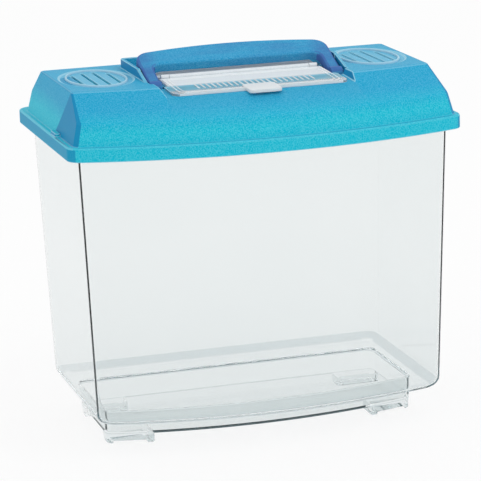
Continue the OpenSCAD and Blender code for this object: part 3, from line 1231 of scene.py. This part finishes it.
@dataclass
class Lid:
    """The domed lid with its well, collar, pockets and vents."""

    plan: Plan
    band_h: float = 10.5
    roll: float = 1.4
    kick: float = 1.4
    knee: Point = (0.12, 0.06)
    brow: Point = (0.05, 0.08)
    brow_in: float = 18.0
    sag: float = 0.6
    collar_t: float = 2.6
    seat: float = 0.06
    collar_h: float = 7.0
    cheek_slope: float = 24.0
    well_halves: Point = (72.0, 74.5)
    well_run: Point = (-40.0, 44.0)
    well_roof: float = 40.0
    pocket_run: Point = (-11.0, 19.0)
    pocket_drop: float = 7.0
    arm_gap: float = 0.8
    boss_w: float = 4.0
    boss_r: float = 5.1
    boss_sink: float = 0.2
    bore_r: float = 2.575
    pad_run: Point = (2.0, 6.0)
    pad_reach: float = 22.0
    pad_gap: float = 0.3
    nub_in: float = 2.85
    nub_half: float = 2.0
    nub_run: Point = (-30.0, -14.0)
    vent_x: float = 107.0
    vent_half: Point = (22.5, 37.0)
    vent_y: float = 12.0
    vent_margin: Point = (5.6, 5.0)
    pan_taper: float = 1.4
    slots: int = 4
    slot_w: float = 2.4
    port: Place = (54.0, 14.0, 100.07)

    def outside(self) -> Workpiece:
        """Raises the lid's outside, with a rolled band and eased bends.

        Returns:
            The outside as a closed solid.
        """
        p, roll = self.plan, self.roll
        shelf, foot = p.shelf_z, p.wall_foot.points(p.shelf_z)
        crease, top = p.crease.points(p.crease_z), p.plateau.points(p.plateau_z)
        inside = (p.plateau - self.brow_in).with_corners(2.0, 2.0).points(p.plateau_z)
        rings = [p.band.points(shelf - self.band_h)]
        for turn in (math.radians(a) for a in (0.0, 30.0, 60.0, 90.0)):
            rings.append((p.band - roll * (1.0 - math.cos(turn))).points(shelf - roll * (1.0 - math.sin(turn))))
        rings += [(p.wall_foot + 0.9).points(shelf), (p.wall_foot + 0.15).points(shelf + 0.4)]
        rings.append(between(foot, crease, self.kick / p.crease_rise))
        rings += eased((foot, crease, top), *self.knee) + eased((crease, top, inside), *self.brow)
        return Workpiece("lid_shell").solid(*rings)

    def cavity(self) -> Workpiece:
        """Raises the room under the lid.

        Returns:
            The room as a closed solid.
        """
        p, t = self.plan, self.plan.lid_t
        band, foot = p.band - t, (p.wall_foot - t).points(p.shelf_z)
        crease, top = (p.crease - t).points(p.crease_z - self.sag), (p.plateau - t).points(p.plateau_z - t)
        rings = [band.points(p.shelf_z - self.band_h - 1.0), band.points(p.rim_z)]
        rings += [(p.wall_foot - t).points(p.rim_z), foot, *eased((foot, crease, top), *self.knee), top]
        return Workpiece("cavity").solid(*rings)

    def pocket(self, name: str, grow: float, top: float) -> Workpiece:
        """Blocks out the right-hand pocket for the handle's arm.

        Args:
            name: name of the block.
            grow: how far it stands out on all sides, or 0 for the pocket's own air.
            top: height at which it ends.

        Returns:
            The block.
        """
        p = self.plan
        extra = 0.3 if grow == 0.0 else 0.0
        start, end = (p.axis[0] + run for run in self.pocket_run)
        low = (p.arm_in - self.arm_gap - grow, start - grow, p.axis[1] - self.pocket_drop - grow)
        return Workpiece(name).block(low, (p.pocket_out + extra + grow, end + grow, top))

    def well_void(self) -> Workpiece:
        """Raises the air over the well, narrow in front and wide at the rear, in the well floor's frame.

        Returns:
            The air as one closed solid.
        """
        p, (front, step), (low, high) = self.plan, self.well_run, self.well_halves
        wide, rear = p.pocket_out, p.well_len
        rings = []
        for half, z in ((low, 0.0), (high, p.plateau_z - p.lip[1]), (high, self.well_roof)):
            right = ((half, front), (half, step), (wide, step), (wide, rear))
            left = [(-x, y) for x, y in reversed(right)]
            rings.append([Vector((x, y, z)) for x, y in (*right, *left)])
        return Workpiece("well_void").solid(*rings)

    def collar(self) -> Workpiece:
        """Raises the wall along the sides and the rear of the well.

        Returns:
            The wall, sunk a little into the plateau.
        """
        p = self.plan
        nose, rear = p.axis[0] - 3.0, p.well_rear + self.seat
        a, b = p.pocket_out + self.seat, p.pocket_out + self.collar_t
        back = rear + self.collar_t
        corners = ((-b, nose), (-a, nose), (-a, rear), (a, rear), (a, nose), (b, nose), (b, back), (-b, back))
        base = soften(corners, (0.0, 0.0, 1.5, 1.5, 0.0, 0.0, 4.0, 4.0), p.plateau_z - p.lid_t / 2.0)
        foot = [Vector((v.x, v.y, p.plateau_z - self.seat)) for v in base]
        slope = [self.cheek_slope if v.y == nose else 0.0 for v in base]
        top = [Vector((v.x, v.y + lean, p.plateau_z + self.collar_h)) for v, lean in zip(base, slope)]
        return Workpiece("collar").solid(base, foot, top)

    def vent_cuts(self) -> list[Workpiece]:
        """Makes the shallow pan and the slots of the right-hand vent.

        Returns:
            The pan and the slots as blocks to be cut away.
        """
        z, centre = self.plan.plateau_z, (self.vent_x, self.vent_y)
        wide, long = (half + margin for half, margin in zip(self.vent_half, self.vent_margin))
        low = oval(wide - self.pan_taper, long - self.pan_taper, centre, z - 0.7)
        cuts = [Workpiece("vent_pan").solid(low, oval(wide, long, centre, z + 0.5))]
        pitch = (2.0 * self.vent_half[0] - 8.0) / self.slots
        half_w = self.slot_w / 2.0
        for k in range(self.slots):
            x = (k - (self.slots - 1) / 2.0) * pitch
            half = (self.vent_half[1] - 4.0) * math.sqrt(1.0 - (x / (self.vent_half[0] - 3.0)) ** 2)
            start = (self.vent_x + x - half_w, self.vent_y - half, z - 4.0)
            end = (self.vent_x + x + half_w, self.vent_y + half, z + 3.0)
            cuts.append(Workpiece("slot").block(start, end, half_w - 0.05))
        return cuts

    def vent_reach(self, middle: Vector) -> float:
        """How far a face stands from a vent's middle, with 1 on the oval of its bead."""
        (half_x, half_y), x = self.vent_half, abs(middle.x)
        return math.hypot((x - self.vent_x) / half_x, (middle.y - self.vent_y) / half_y)

    def deep(self, middle: Vector, normal: Vector, rim: bool) -> float:
        """How much painted shade and depth the plastic gets: walls seen edge-on, the band's sides, the ledge and the
        vents' pans.

        Args:
            middle: the face's middle.
            normal: its normal.
            rim: True for a softened edge, which changes nothing here.

        Returns:
            0 for plain plastic, up to 1 for the most painted shade and depth.
        """
        p, across = self.plan, abs(middle.x)
        wall = across < 80.0 and abs(normal.x) > 0.8
        band_side = middle.z < p.shelf_z - self.roll and abs(normal.x) > 0.7
        pan = p.plateau_z - 1.0 < middle.z < p.plateau_z - 0.02 and 1.0 < self.vent_reach(middle) < 1.4
        ledge = abs(middle.z - p.shelf_z) < 0.1 and normal.z > 0.97 and middle.y < 0.0 and across < 142.0
        return 1.0 if wall else 0.7 if band_side else 0.5 if ledge else 0.45 if pan else 0.0

    def side(self, middle: Vector, normal: Vector, rim: bool) -> float:
        """1 on the lid's outer side walls, between the ledge and the plateau, where shade is painted beside the front
        corners.
        """
        outer = middle.z > self.plan.shelf_z - 0.2 and abs(middle.x) > 130.0
        return 1.0 if outer and abs(normal.x) > abs(normal.y) and normal.z < 0.97 else 0.0

    def rim(self, middle: Vector, normal: Vector, rim: bool) -> float:
        """Where thin edges catch the light.

        Args:
            middle: the face's middle.
            normal: its normal.
            rim: True for a softened edge.

        Returns:
            0 for plain plastic, up to 1 for the brightest edge.
        """
        p = self.plan
        rolled_band = p.shelf_z - self.roll < middle.z < p.shelf_z + 0.2 and 0.25 < normal.z < 0.97
        plateau_edge = middle.z > p.plateau_z - 1.2 and 0.45 < normal.z < 0.97
        vent = self.vent_reach(middle) < 1.0 and middle.z > p.plateau_z - 4.0
        if rolled_band and abs(normal.y) > abs(normal.x):
            return 0.12
        return 1.0 if rim else 0.4 if rolled_band or vent else 0.35 if plateau_edge else 0.0

    def pad_top(self) -> float:
        """Works out how high the pads stand that carry the folded handle.

        Returns:
            The height of their tops.
        """
        half, tilt = self.plan.arm_t / 2.0, math.radians(self.plan.fold)
        reach = (self.pad_reach - half * math.sin(tilt)) / math.cos(tilt)
        return self.plan.axis[1] + reach * math.sin(tilt) - half * math.cos(tilt) - self.pad_gap

    def fittings(self, side: float) -> list[Workpiece]:
        """Makes what stands on the lid on one side.

        Args:
            side: 1 for the right, -1 for the left.

        Returns:
            The bearing's boss, the handle's pad and the ledge's nub.
        """
        p, sink = self.plan, self.boss_sink
        x0, x1 = span(side, p.pocket_out + sink, p.pocket_out + self.boss_w)
        boss = Workpiece("boss").rod(self.boss_r, (x0, *p.axis), x1 - x0)
        x0, x1 = span(side, p.arm_in, p.arm_out)
        y0, y1 = self.pad_run
        pad = Workpiece("pad").block((x0, y0, p.lip[1] - 1.0), (x1, y1, self.pad_top()), 0.8)
        middle = p.lid_w / 2.0 - self.nub_in
        x0, x1 = span(side, middle - self.nub_half, middle + self.nub_half)
        y0, y1 = self.nub_run
        nub = Workpiece("nub").block((x0, y0, p.shelf_z - 0.5), (x1, y1, p.shelf_z + 2.5), 1.6)
        return [boss, pad, nub]

    def shell(self) -> Workpiece:
        """Hollows the outside, keeps the well's walls, and cuts every opening.

        Returns:
            The lid with sharp edges.
        """
        p = self.plan
        half, start = p.pocket_out + p.lid_t + 0.5, self.well_run[0]
        room = self.cavity()
        well = Workpiece("well_block").block((-half, start, -p.lid_t), (half, p.well_len + p.lid_t, self.well_roof))
        for block in (p.on_floor(well), *both_sides(self.pocket("pocket_block", p.lid_t, p.plateau_z))):
            room -= block
        lid = self.outside()
        lid -= room
        lid -= p.on_floor(self.well_void())
        lid += self.collar()
        for side in SIDES:
            for piece in self.fittings(side):
                lid += piece
        port_half, port_start, port_end = self.port
        port = Workpiece("port").block((-port_half, port_start, -4.2), (port_half, port_end, 3.0), 4.0)
        pocket = self.pocket("pocket", 0.0, p.plateau_z + 40.0)
        for cut in (p.on_floor(port), *both_sides(pocket, *self.vent_cuts())):
            lid -= cut
        for side in SIDES:
            x0, x1 = span(side, p.pocket_out - 1.0, p.pocket_out + self.boss_w + 1.0)
            lid -= Workpiece("bore").rod(self.bore_r, (x0, *p.axis), x1 - x0)
        return lid

    def grille(self, name: str) -> Workpiece:
        """Makes the bead that stands round the right-hand vent.

        Args:
            name: name of the piece.

        Returns:
            The bead, sunk a little into the plateau.
        """
        (half_x, half_y), centre, z = self.vent_half, (self.vent_x, self.vent_y), self.plan.plateau_z - 0.9
        outer = ((0.0, 0.0), (0.0, 1.2), (0.25, 1.6), (0.8, 1.8))
        inner = ((1.6, -1.0), (1.6, 1.2), (1.35, 1.6), (0.8, 1.85), (0.6, 3.0))
        around, within = (
            [oval(half_x - inset, half_y - inset, centre, z + up) for inset, up in edge] for edge in (outer, inner)
        )
        bead = Workpiece(name).solid(*around)
        bead -= Workpiece("bead_hole").solid(*within)
        return bead

    def build(self, blue: bpy.types.Material, pale: bpy.types.Material) -> None:
        """Builds and dresses the lid and the beads of its vents.

        Args:
            blue: finish of the lid.
            pale: finish of the beads.
        """
        lid = self.shell().round_edges(0.55, 2, 40.0)
        # Painted shade and depth, painted shade beside the front corners, and painted highlights.
        lid.mark("deep", self.deep).mark("side", self.side).mark("rim", self.rim)
        lid.smooth(30.0).dress(blue, Body.LID, Slot.BLUE_LID, "lid")
        right = self.grille("vent_right")
        for vent in (right.copy("vent_left", flip=True), right):
            # The beads get a painted highlight all over, and no painted shade.
            vent.paint("deep", 0.0).paint("rim", 0.8)
            vent.smooth(40.0).dress(pale, Body.LID, Slot.BLUE_LID)


@dataclass
class Handle:
    """The folded bail handle: an arched channel grip, two arms, hubs and trunnions."""

    plan: Plan
    reach: float = 45.5
    arch: float = 6.3
    grip_w: float = 17.0
    wall: float = 2.2
    hub_r: float = 6.0
    hub_gap: float = 0.05
    trunnion_r: float = 2.5
    tip: float = 79.5
    corner_r: float = 11.0
    hole_r: float = 7.0
    lower_edge: tuple[Point, ...] = ((0.0, 1.3), (0.4, 0.4), (1.3, 0.0))
    upper_edge: tuple[Point, ...] = ((1.8, 0.0), (1.1, 0.2), (0.5, 0.8), (0.0, 1.8))

    def outline(self, inset: float, h: float) -> list[Vector]:
        """Points round the handle in its own plane, arch away from the axis.

        Args:
            inset: how far the points stand inside the outline.
            h: their height over the handle's middle plane.

        Returns:
            The points, counter-clockwise.
        """
        shape = Outline(self.plan.arm_out, -self.reach - self.arch, 0.0, self.arch, self.corner_r, 1.0) - inset
        shape = shape.with_corners(self.corner_r - inset, 1.0)
        return [Vector((v.x, -v.y, h)) for v in reversed(shape.points(h))]

    def hole(self, name: str, *levels: Place) -> Workpiece:
        """The opening between the arms.

        Args:
            name: name of the piece.
            levels: height, growth and corner radius of each ring, from the lowest to the highest.

        Returns:
            The opening as a closed solid that reaches past the arms' ends.
        """
        rings = []
        for h, grow, radius in levels:
            half, top = self.plan.arm_in + grow, self.reach - self.grip_w + grow
            corners = ((-half, -20.0), (half, -20.0), (half, top), (-half, top))
            rings.append(soften(corners, (0.0, 0.0, radius, radius), h))
        return Workpiece(name).solid(*rings)

    def loop(self) -> Workpiece:
        """Makes the grip and the arms, with rounded edges and a channel underneath.

        Returns:
            The loop, flat in its own plane.
        """
        half, wall = self.plan.arm_t / 2.0, self.wall
        profile = [(up - half, inset) for up, inset in self.lower_edge]
        profile += [(half - down, inset) for down, inset in self.upper_edge]
        piece = Workpiece("handle_bail").solid(*(self.outline(inset, h) for h, inset in profile))
        first, last = profile[0], profile[-1]
        levels = [(first[0] - 1.0, first[1]), *profile, (last[0] + 1.0, last[1])]
        piece -= self.hole("opening", *((h, inset, self.hole_r + inset) for h, inset in levels))
        channel = Workpiece("channel").solid(self.outline(wall, -half - 1.0), self.outline(wall, half - wall))
        core = ((h, wall, self.hole_r - wall) for h in (-half - 2.0, half + 2.0))
        channel -= self.hole("core", *core)
        channel &= Workpiece("beyond").block((-90.0, self.hub_r + 2.0, -10.0), (90.0, 70.0, 10.0))
        piece -= channel
        return piece

    def deep(self, middle: Vector, normal: Vector, rim: bool) -> float:
        """How much painted shade and depth the plastic gets: most on side faces, some on the arms' tops, a little
        everywhere else.
        """
        arm_top = abs(middle.x) > 62.0 and normal.z > 0.5
        return 1.0 if abs(normal.x) > 0.75 else 0.55 if arm_top else 0.12

    def rim(self, middle: Vector, normal: Vector, rim: bool) -> float:
        """Only the far top edge catches the light."""
        return 0.5 if rim and normal.y > 0.2 and normal.z > 0.3 else 0.1 if rim else 0.0

    def build(self, blue: bpy.types.Material) -> None:
        """Builds and dresses the handle, folded on its axis.

        Args:
            blue: its finish.
        """
        p = self.plan
        bail = self.loop()
        for side in SIDES:
            x0, x1 = span(side, p.arm_in, p.arm_out)
            hub = Workpiece("hub").rod(self.hub_r, (x0 + self.hub_gap, 0.0, 0.0), x1 - x0 - 2.0 * self.hub_gap)
            bail += hub.round_edges(0.8, 2, 60.0)
            x0, x1 = span(side, p.arm_out - 1.0, self.tip)
            bail += Workpiece("trunnion").rod(self.trunnion_r, (x0, 0.0, 0.0), x1 - x0, 32)
        bail.tilt(p.fold, (0.0, *p.axis))
        # Painted shade and depth, and painted highlights on the far top edge.
        bail.mark("deep", self.deep).mark("rim", self.rim)
        bail.smooth(30.0).dress(blue, Body.HANDLE, Slot.BLUE_HANDLE, "handle")


@dataclass
class WindowPanel:
    """The fixed clear panel behind the hatch, with hinge eyes and snap legs."""

    plan: Plan
    eye_w: float = 6.0
    eye_in: float = 2.0
    bore_r: float = 1.06
    rear_gap: float = 6.0
    leg_x: Point = (51.3, 53.7)
    leg_y: Point = (10.0, 18.0)
    leg_z: Point = (-4.7, 0.5)
    barb_out: float = 1.2
    barb_z: Point = (-4.6, -2.5)

    def eye(self, side: float, start: float) -> Workpiece:
        """Makes one hinge eye on its arm.

        Args:
            side: 1 for the right, -1 for the left.
            start: where the panel's front edge stands.

        Returns:
            The eye, bored for the hatch's pin.
        """
        p, out = self.plan, self.plan.hatch_half - self.eye_in
        (y, z), (x0, x1) = p.hinge, span(side, out - self.eye_w, out)
        arm = Workpiece("arm").block((x0 + 0.05, y, z - p.eye_r + 0.1), (x1 - 0.05, start + 4.0, p.pane_t - 0.1))
        arm += Workpiece("eye").rod(p.eye_r, (x0, y, z), self.eye_w, 32)
        arm -= Workpiece("pin_bore").rod(self.bore_r, (x0 - 1.0, y, z), self.eye_w + 2.0, 32)
        return arm

    def leg(self, side: float, start: float) -> Workpiece:
        """Makes one snap leg with its barb.

        Args:
            side: 1 for the right, -1 for the left.
            start: where the panel's front edge stands.

        Returns:
            The leg, sunk a little into the panel.
        """
        (x0, x1), (y0, y1), (z0, z1) = span(side, *self.leg_x), (start + y for y in self.leg_y), self.leg_z
        leg = Workpiece("leg").block((x0, y0, z0), (x1, y1, z1))
        (x0, x1), (z0, z1) = span(side, *(x + self.barb_out for x in self.leg_x)), self.barb_z
        leg += Workpiece("barb").block((x0, y0 + 0.1, z0), (x1, y1 - 0.1, z1))
        return leg

    def build(self, pane: bpy.types.Material) -> None:
        """Builds and dresses the panel.

        Args:
            pane: its finish.
        """
        p = self.plan
        half, start, end = p.hatch_half, p.hinge[0] + p.eye_r + 0.4, p.well_len - self.rear_gap
        panel = Workpiece("window_pane").block((-half, start, 0.0), (half, end, p.pane_t), 3.0)
        panel.round_edges(0.3, 2, 50.0)
        for side in SIDES:
            panel += self.eye(side, start)
            panel += self.leg(side, start)
        p.on_floor(panel)
        panel.smooth(30.0).dress(pane, Body.LID, Slot.CLEAR_PANE, "window_panel")


@dataclass
class Hatch:
    """The clear feeding hatch: a T-shaped leaf with ridges, a ribbed strip, a finger tab and hinge pins."""

    plan: Plan
    front: float = 3.0
    wide: float = 67.0
    wide_end: float = 31.5
    barrel_in: float = 8.4
    pin_r: float = 1.0
    pin_in: float = 3.0
    ridges: tuple[Place, ...] = ((0.8, 1.2, 0.6), (4.2, 1.0, 0.5))
    ridge_r: float = 7.0
    tab_half: float = 12.5
    tab_reach: float = 11.0
    tab_root: float = 12.0
    ribs: int = 22
    rib_pitch: float = 4.2
    rib_half: float = 0.7
    rib_run: Point = (15.0, 29.0)

    def leaf(self) -> Workpiece:
        """Makes the leaf with its hinge barrel and pins.

        Returns:
            The leaf, flat in the well floor's frame.
        """
        p = self.plan
        hinge_y = p.hinge[0]
        rear = hinge_y - p.eye_r - 0.6
        half, inner = p.hatch_half, p.hatch_half - self.barrel_in
        right = ((self.wide, self.front), (self.wide, self.wide_end), (half, self.wide_end), (half, rear))
        right += ((inner, rear), (inner, hinge_y))
        left = [(-x, y) for x, y in reversed(right)]
        corners = (left[-1], *right, *left[:-1])
        radii = (6.0, 6.0, 3.0, *[0.0] * 8, 3.0)
        leaf = Workpiece("hatch_leaf").solid(*(soften(corners, radii, z) for z in (0.0, p.pane_t)))
        leaf.round_edges(0.3, 2, 50.0)
        barrel = Workpiece("barrel").rod(p.eye_r - 0.2, (-inner + 0.05, *p.hinge), 2.0 * inner - 0.1, 32)
        leaf += barrel.round_edges(0.3, 2, 60.0)
        leaf += Workpiece("pins").rod(self.pin_r, (self.pin_in - half, *p.hinge), 2.0 * (half - self.pin_in), 24)
        return leaf

    def ridge(self, inset: float, width: float, height: float) -> Workpiece:
        """A raised ridge that runs round the leaf.

        Args:
            inset: distance from the leaf's front and sides.
            width: width of the ridge.
            height: height of the ridge above the leaf.

        Returns:
            The ridge, sunk a little into the leaf.
        """
        p = self.plan
        low, high = p.pane_t - 0.3, p.pane_t + height
        pieces = []
        for name, grow, sink in (("ridge", 0.0, 0.0), ("hole", width, 1.0)):
            a, y0, y1 = p.hatch_half - inset - grow, self.front + inset * 0.7 + grow, p.hinge[0] - 5.0 - inset - grow
            corners, r = ((-a, y0), (a, y0), (a, y1), (-a, y1)), self.ridge_r - grow
            rings = [soften(corners, (r, r, 2.0, 2.0), z) for z in (low - sink, high + sink)]
            pieces.append(Workpiece(name).solid(*rings))
        ridge, hole = pieces
        ridge -= hole
        return ridge.round_edges(0.2, 2, 50.0)

    def rim(self, middle: Vector, normal: Vector, rim: bool) -> float:
        """White where the leaf's edges and ridges catch the light.

        Args:
            middle: the face's middle.
            normal: its normal, which changes nothing here.
            rim: True for a softened edge.

        Returns:
            0 for plain plastic, up to 1 for the whitest edge.
        """
        ridge = middle.z > self.plan.pane_t + 0.05 and middle.y < self.plan.hinge[0] - self.plan.eye_r
        front_edge = middle.y < self.front + 0.5
        return 1.0 if front_edge or (ridge and middle.y < 12.0) else 0.6 if ridge or rim else 0.0

    def tab(self) -> Workpiece:
        """Makes the finger tab in front of the leaf.

        Returns:
            The tab, flat in the well floor's frame.
        """
        half, top = self.tab_half, self.plan.pane_t + 0.8
        low, high = (-half, self.front - self.tab_reach, 0.05), (half, self.front + self.tab_root, top)
        return Workpiece("hatch_tab").block(low, high, 3.0).round_edges(0.7, 3, 50.0)

    def strip(self) -> Workpiece:
        """Makes the ribbed strip from one rib, repeated at its pitch.

        Returns:
            The strip, flat in the well floor's frame.
        """
        z, (y0, y1) = self.plan.pane_t, self.rib_run
        x = -(self.ribs - 1) / 2.0 * self.rib_pitch
        rib = Workpiece("hatch_ribs").block((x - self.rib_half, y0, z - 0.1), (x + self.rib_half, y1, z + 0.5), 0.6)
        rib.round_edges(0.25, 2, 50.0)
        return rib.refine(
            "ARRAY",
            count=self.ribs,
            use_relative_offset=False,
            use_constant_offset=True,
            constant_offset_displace=(self.rib_pitch * MM, 0.0, 0.0),
        )

    def build(self, pane: bpy.types.Material, white: bpy.types.Material) -> None:
        """Builds and dresses the hatch, its tab and its ribbed strip.

        Args:
            pane: finish of the leaf.
            white: finish of the ribs and the tab.
        """
        leaf = self.leaf()
        for sizes in self.ridges:
            leaf += self.ridge(*sizes)
        self.plan.on_floor(leaf.mark("rim", self.rim))
        leaf.smooth(30.0).dress(pane, Body.HATCH, Slot.CLEAR_PANE, "hatch")
        for piece in (self.tab(), self.strip()):
            self.plan.on_floor(piece.paint("plain", 1.0))
            piece.smooth(35.0).dress(white, Body.HATCH, Slot.CLEAR_PANE)


# ---------------------------------------------------------------- room


@dataclass
class Lamp:
    """A square soft lamp."""

    name: str
    place: Place
    size: float
    power: float

    def hang(self, aim: Place) -> None:
        """Hangs the lamp and points it.

        Args:
            aim: the point that it lights.
        """
        data = bpy.data.lights.new(self.name, "AREA")
        data.shape = "SQUARE"
        data.size = self.size
        data.energy = self.power
        lamp = bpy.data.objects.new(self.name, data)
        bpy.context.scene.collection.objects.link(lamp)
        look = (Vector(aim) - Vector(self.place)).to_track_quat("-Z", "Y").to_matrix().to_4x4()
        lamp.matrix_world = Matrix.Translation(Vector(self.place)) @ look


@dataclass
class Room:
    """Plain pale floor, soft lamps, white backdrop and the camera."""

    azimuth: float = -16.2
    elevation: float = 13.4
    roll: float = -1.9
    distance: float = 1.9986
    target: Place = (0.0012, 0.0135, 0.1355)
    focal_px: float = 2600.0
    image_px: float = 481.0
    sensor: float = 36.0
    level: float = 0.92
    floor_w: float = 12.0
    floor_z: float = -0.0002
    floor_tone: Colour = (0.86, 0.86, 0.86, 1.0)
    floor_glow: float = 0.88
    aim: Place = (0.0, 0.0, 0.12)
    lamps: tuple[Lamp, ...] = (
        Lamp("key", (1.3, -1.5, 2.2), 1.6, 14.0),
        Lamp("fill", (-1.6, -1.4, 1.4), 1.6, 3.0),
    )

    def camera(self) -> None:
        """Sets the camera at the viewing angle."""
        az, el, roll = (math.radians(a) for a in (self.azimuth, self.elevation, self.roll))
        back = Vector((math.sin(az) * math.cos(el), -math.cos(az) * math.cos(el), math.sin(el)))
        right = (-back).cross(Vector((0, 0, 1))).normalized()
        up = right.cross(-back)
        axis_x = right * math.cos(roll) + up * math.sin(roll)
        axis_y = up * math.cos(roll) - right * math.sin(roll)
        data = bpy.data.cameras.new("view")
        data.sensor_fit = "HORIZONTAL"
        data.sensor_width = self.sensor
        data.lens = self.focal_px / self.image_px * self.sensor
        data.clip_end = 20.0
        camera = bpy.data.objects.new("view", data)
        bpy.context.scene.collection.objects.link(camera)
        turn = Matrix((axis_x, axis_y, back)).transposed().to_4x4()
        camera.matrix_world = Matrix.Translation(Vector(self.target) + back * self.distance) @ turn
        bpy.context.scene.camera = camera

    def seen(self, bench: NodeBench) -> Signal:
        """Tells where a surface is seen.

        Args:
            bench: the bench of the material or world.

        Returns:
            1 for the camera itself, in a reflection and through clear plastic, 0 elsewhere.
        """
        path = bench.add("ShaderNodeLightPath")
        parts = [bench.signal(path, f"Is {kind} Ray") for kind in ("Camera", "Glossy", "Transmission")]
        return (parts[0] + parts[1] + parts[2]).between(0.0, 1.0)

    def world(self) -> None:
        """White where it is seen, a plain level elsewhere."""
        world = bpy.data.worlds.new("room")
        bpy.context.scene.world = world
        world.use_nodes = True
        bench = NodeBench(world.node_tree)
        strength = self.seen(bench) * (1.0 - self.level) + self.level
        back = bench.add("ShaderNodeBackground", {}, {"Color": WHITE, "Strength": strength})
        bench.surface(back.outputs[0], "World")

    def floor(self) -> None:
        """A wide pale floor that keeps a faint shadow."""
        rest()
        bpy.ops.mesh.primitive_plane_add(size=self.floor_w, location=(0.0, 0.0, self.floor_z))
        floor = bpy.context.active_object
        floor.name = "floor"
        material, bench = new_material("pale_floor")
        plain = bench.add("ShaderNodeBsdfDiffuse", {}, {"Color": self.floor_tone})
        white = bench.add("ShaderNodeEmission", {}, {"Color": WHITE, "Strength": 1.0})
        bench.surface(bench.mixed(self.seen(bench) * self.floor_glow, plain.outputs[0], white.outputs[0]))
        floor.data.materials.append(material)

    def build(self) -> None:
        """Sets up everything that isn't the object."""
        bpy.context.scene.view_settings.view_transform = "Standard"
        self.camera()
        self.world()
        self.floor()
        for lamp in self.lamps:
            lamp.hang(self.aim)


def main() -> None:
    """Builds the scene."""
    logging.basicConfig(level=logging.INFO, format="%(name)s %(message)s", stream=sys.stdout)
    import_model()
    Room().build()
    plan = Plan()
    clear = ClearPlastic("clear_plastic").make()
    blue = TintedPlastic("lid_blue").make()
    # The handle: purple painted shade and depth on its side faces and arms, with random streaks.
    grip = TintedPlastic(
        "handle_blue",
        low_tone=linear(42, 162, 206),
        high_tone=linear(44, 156, 204),
        deep_tone=linear(72, 112, 176),
        streaks=1.8,
        arms=0.45,
    ).make()
    # The vents' beads: a paler painted highlight.
    pale = TintedPlastic("vent_blue", highlight_tone=linear(206, 234, 244)).make()
    pane = HazyPlastic("clear_pane").make()
    white = HazyPlastic("white_pane", milk=linear(236, 241, 245), clear_y=-0.2, milky_y=-0.1, most=0.75).make()
    Tank(plan).build(clear)
    Lid(plan).build(blue, pale)
    Handle(plan).build(grip)
    WindowPanel(plan).build(pane)
    Hatch(plan).build(pane, white)
    rest()


if __name__ == "__main__":
    main()
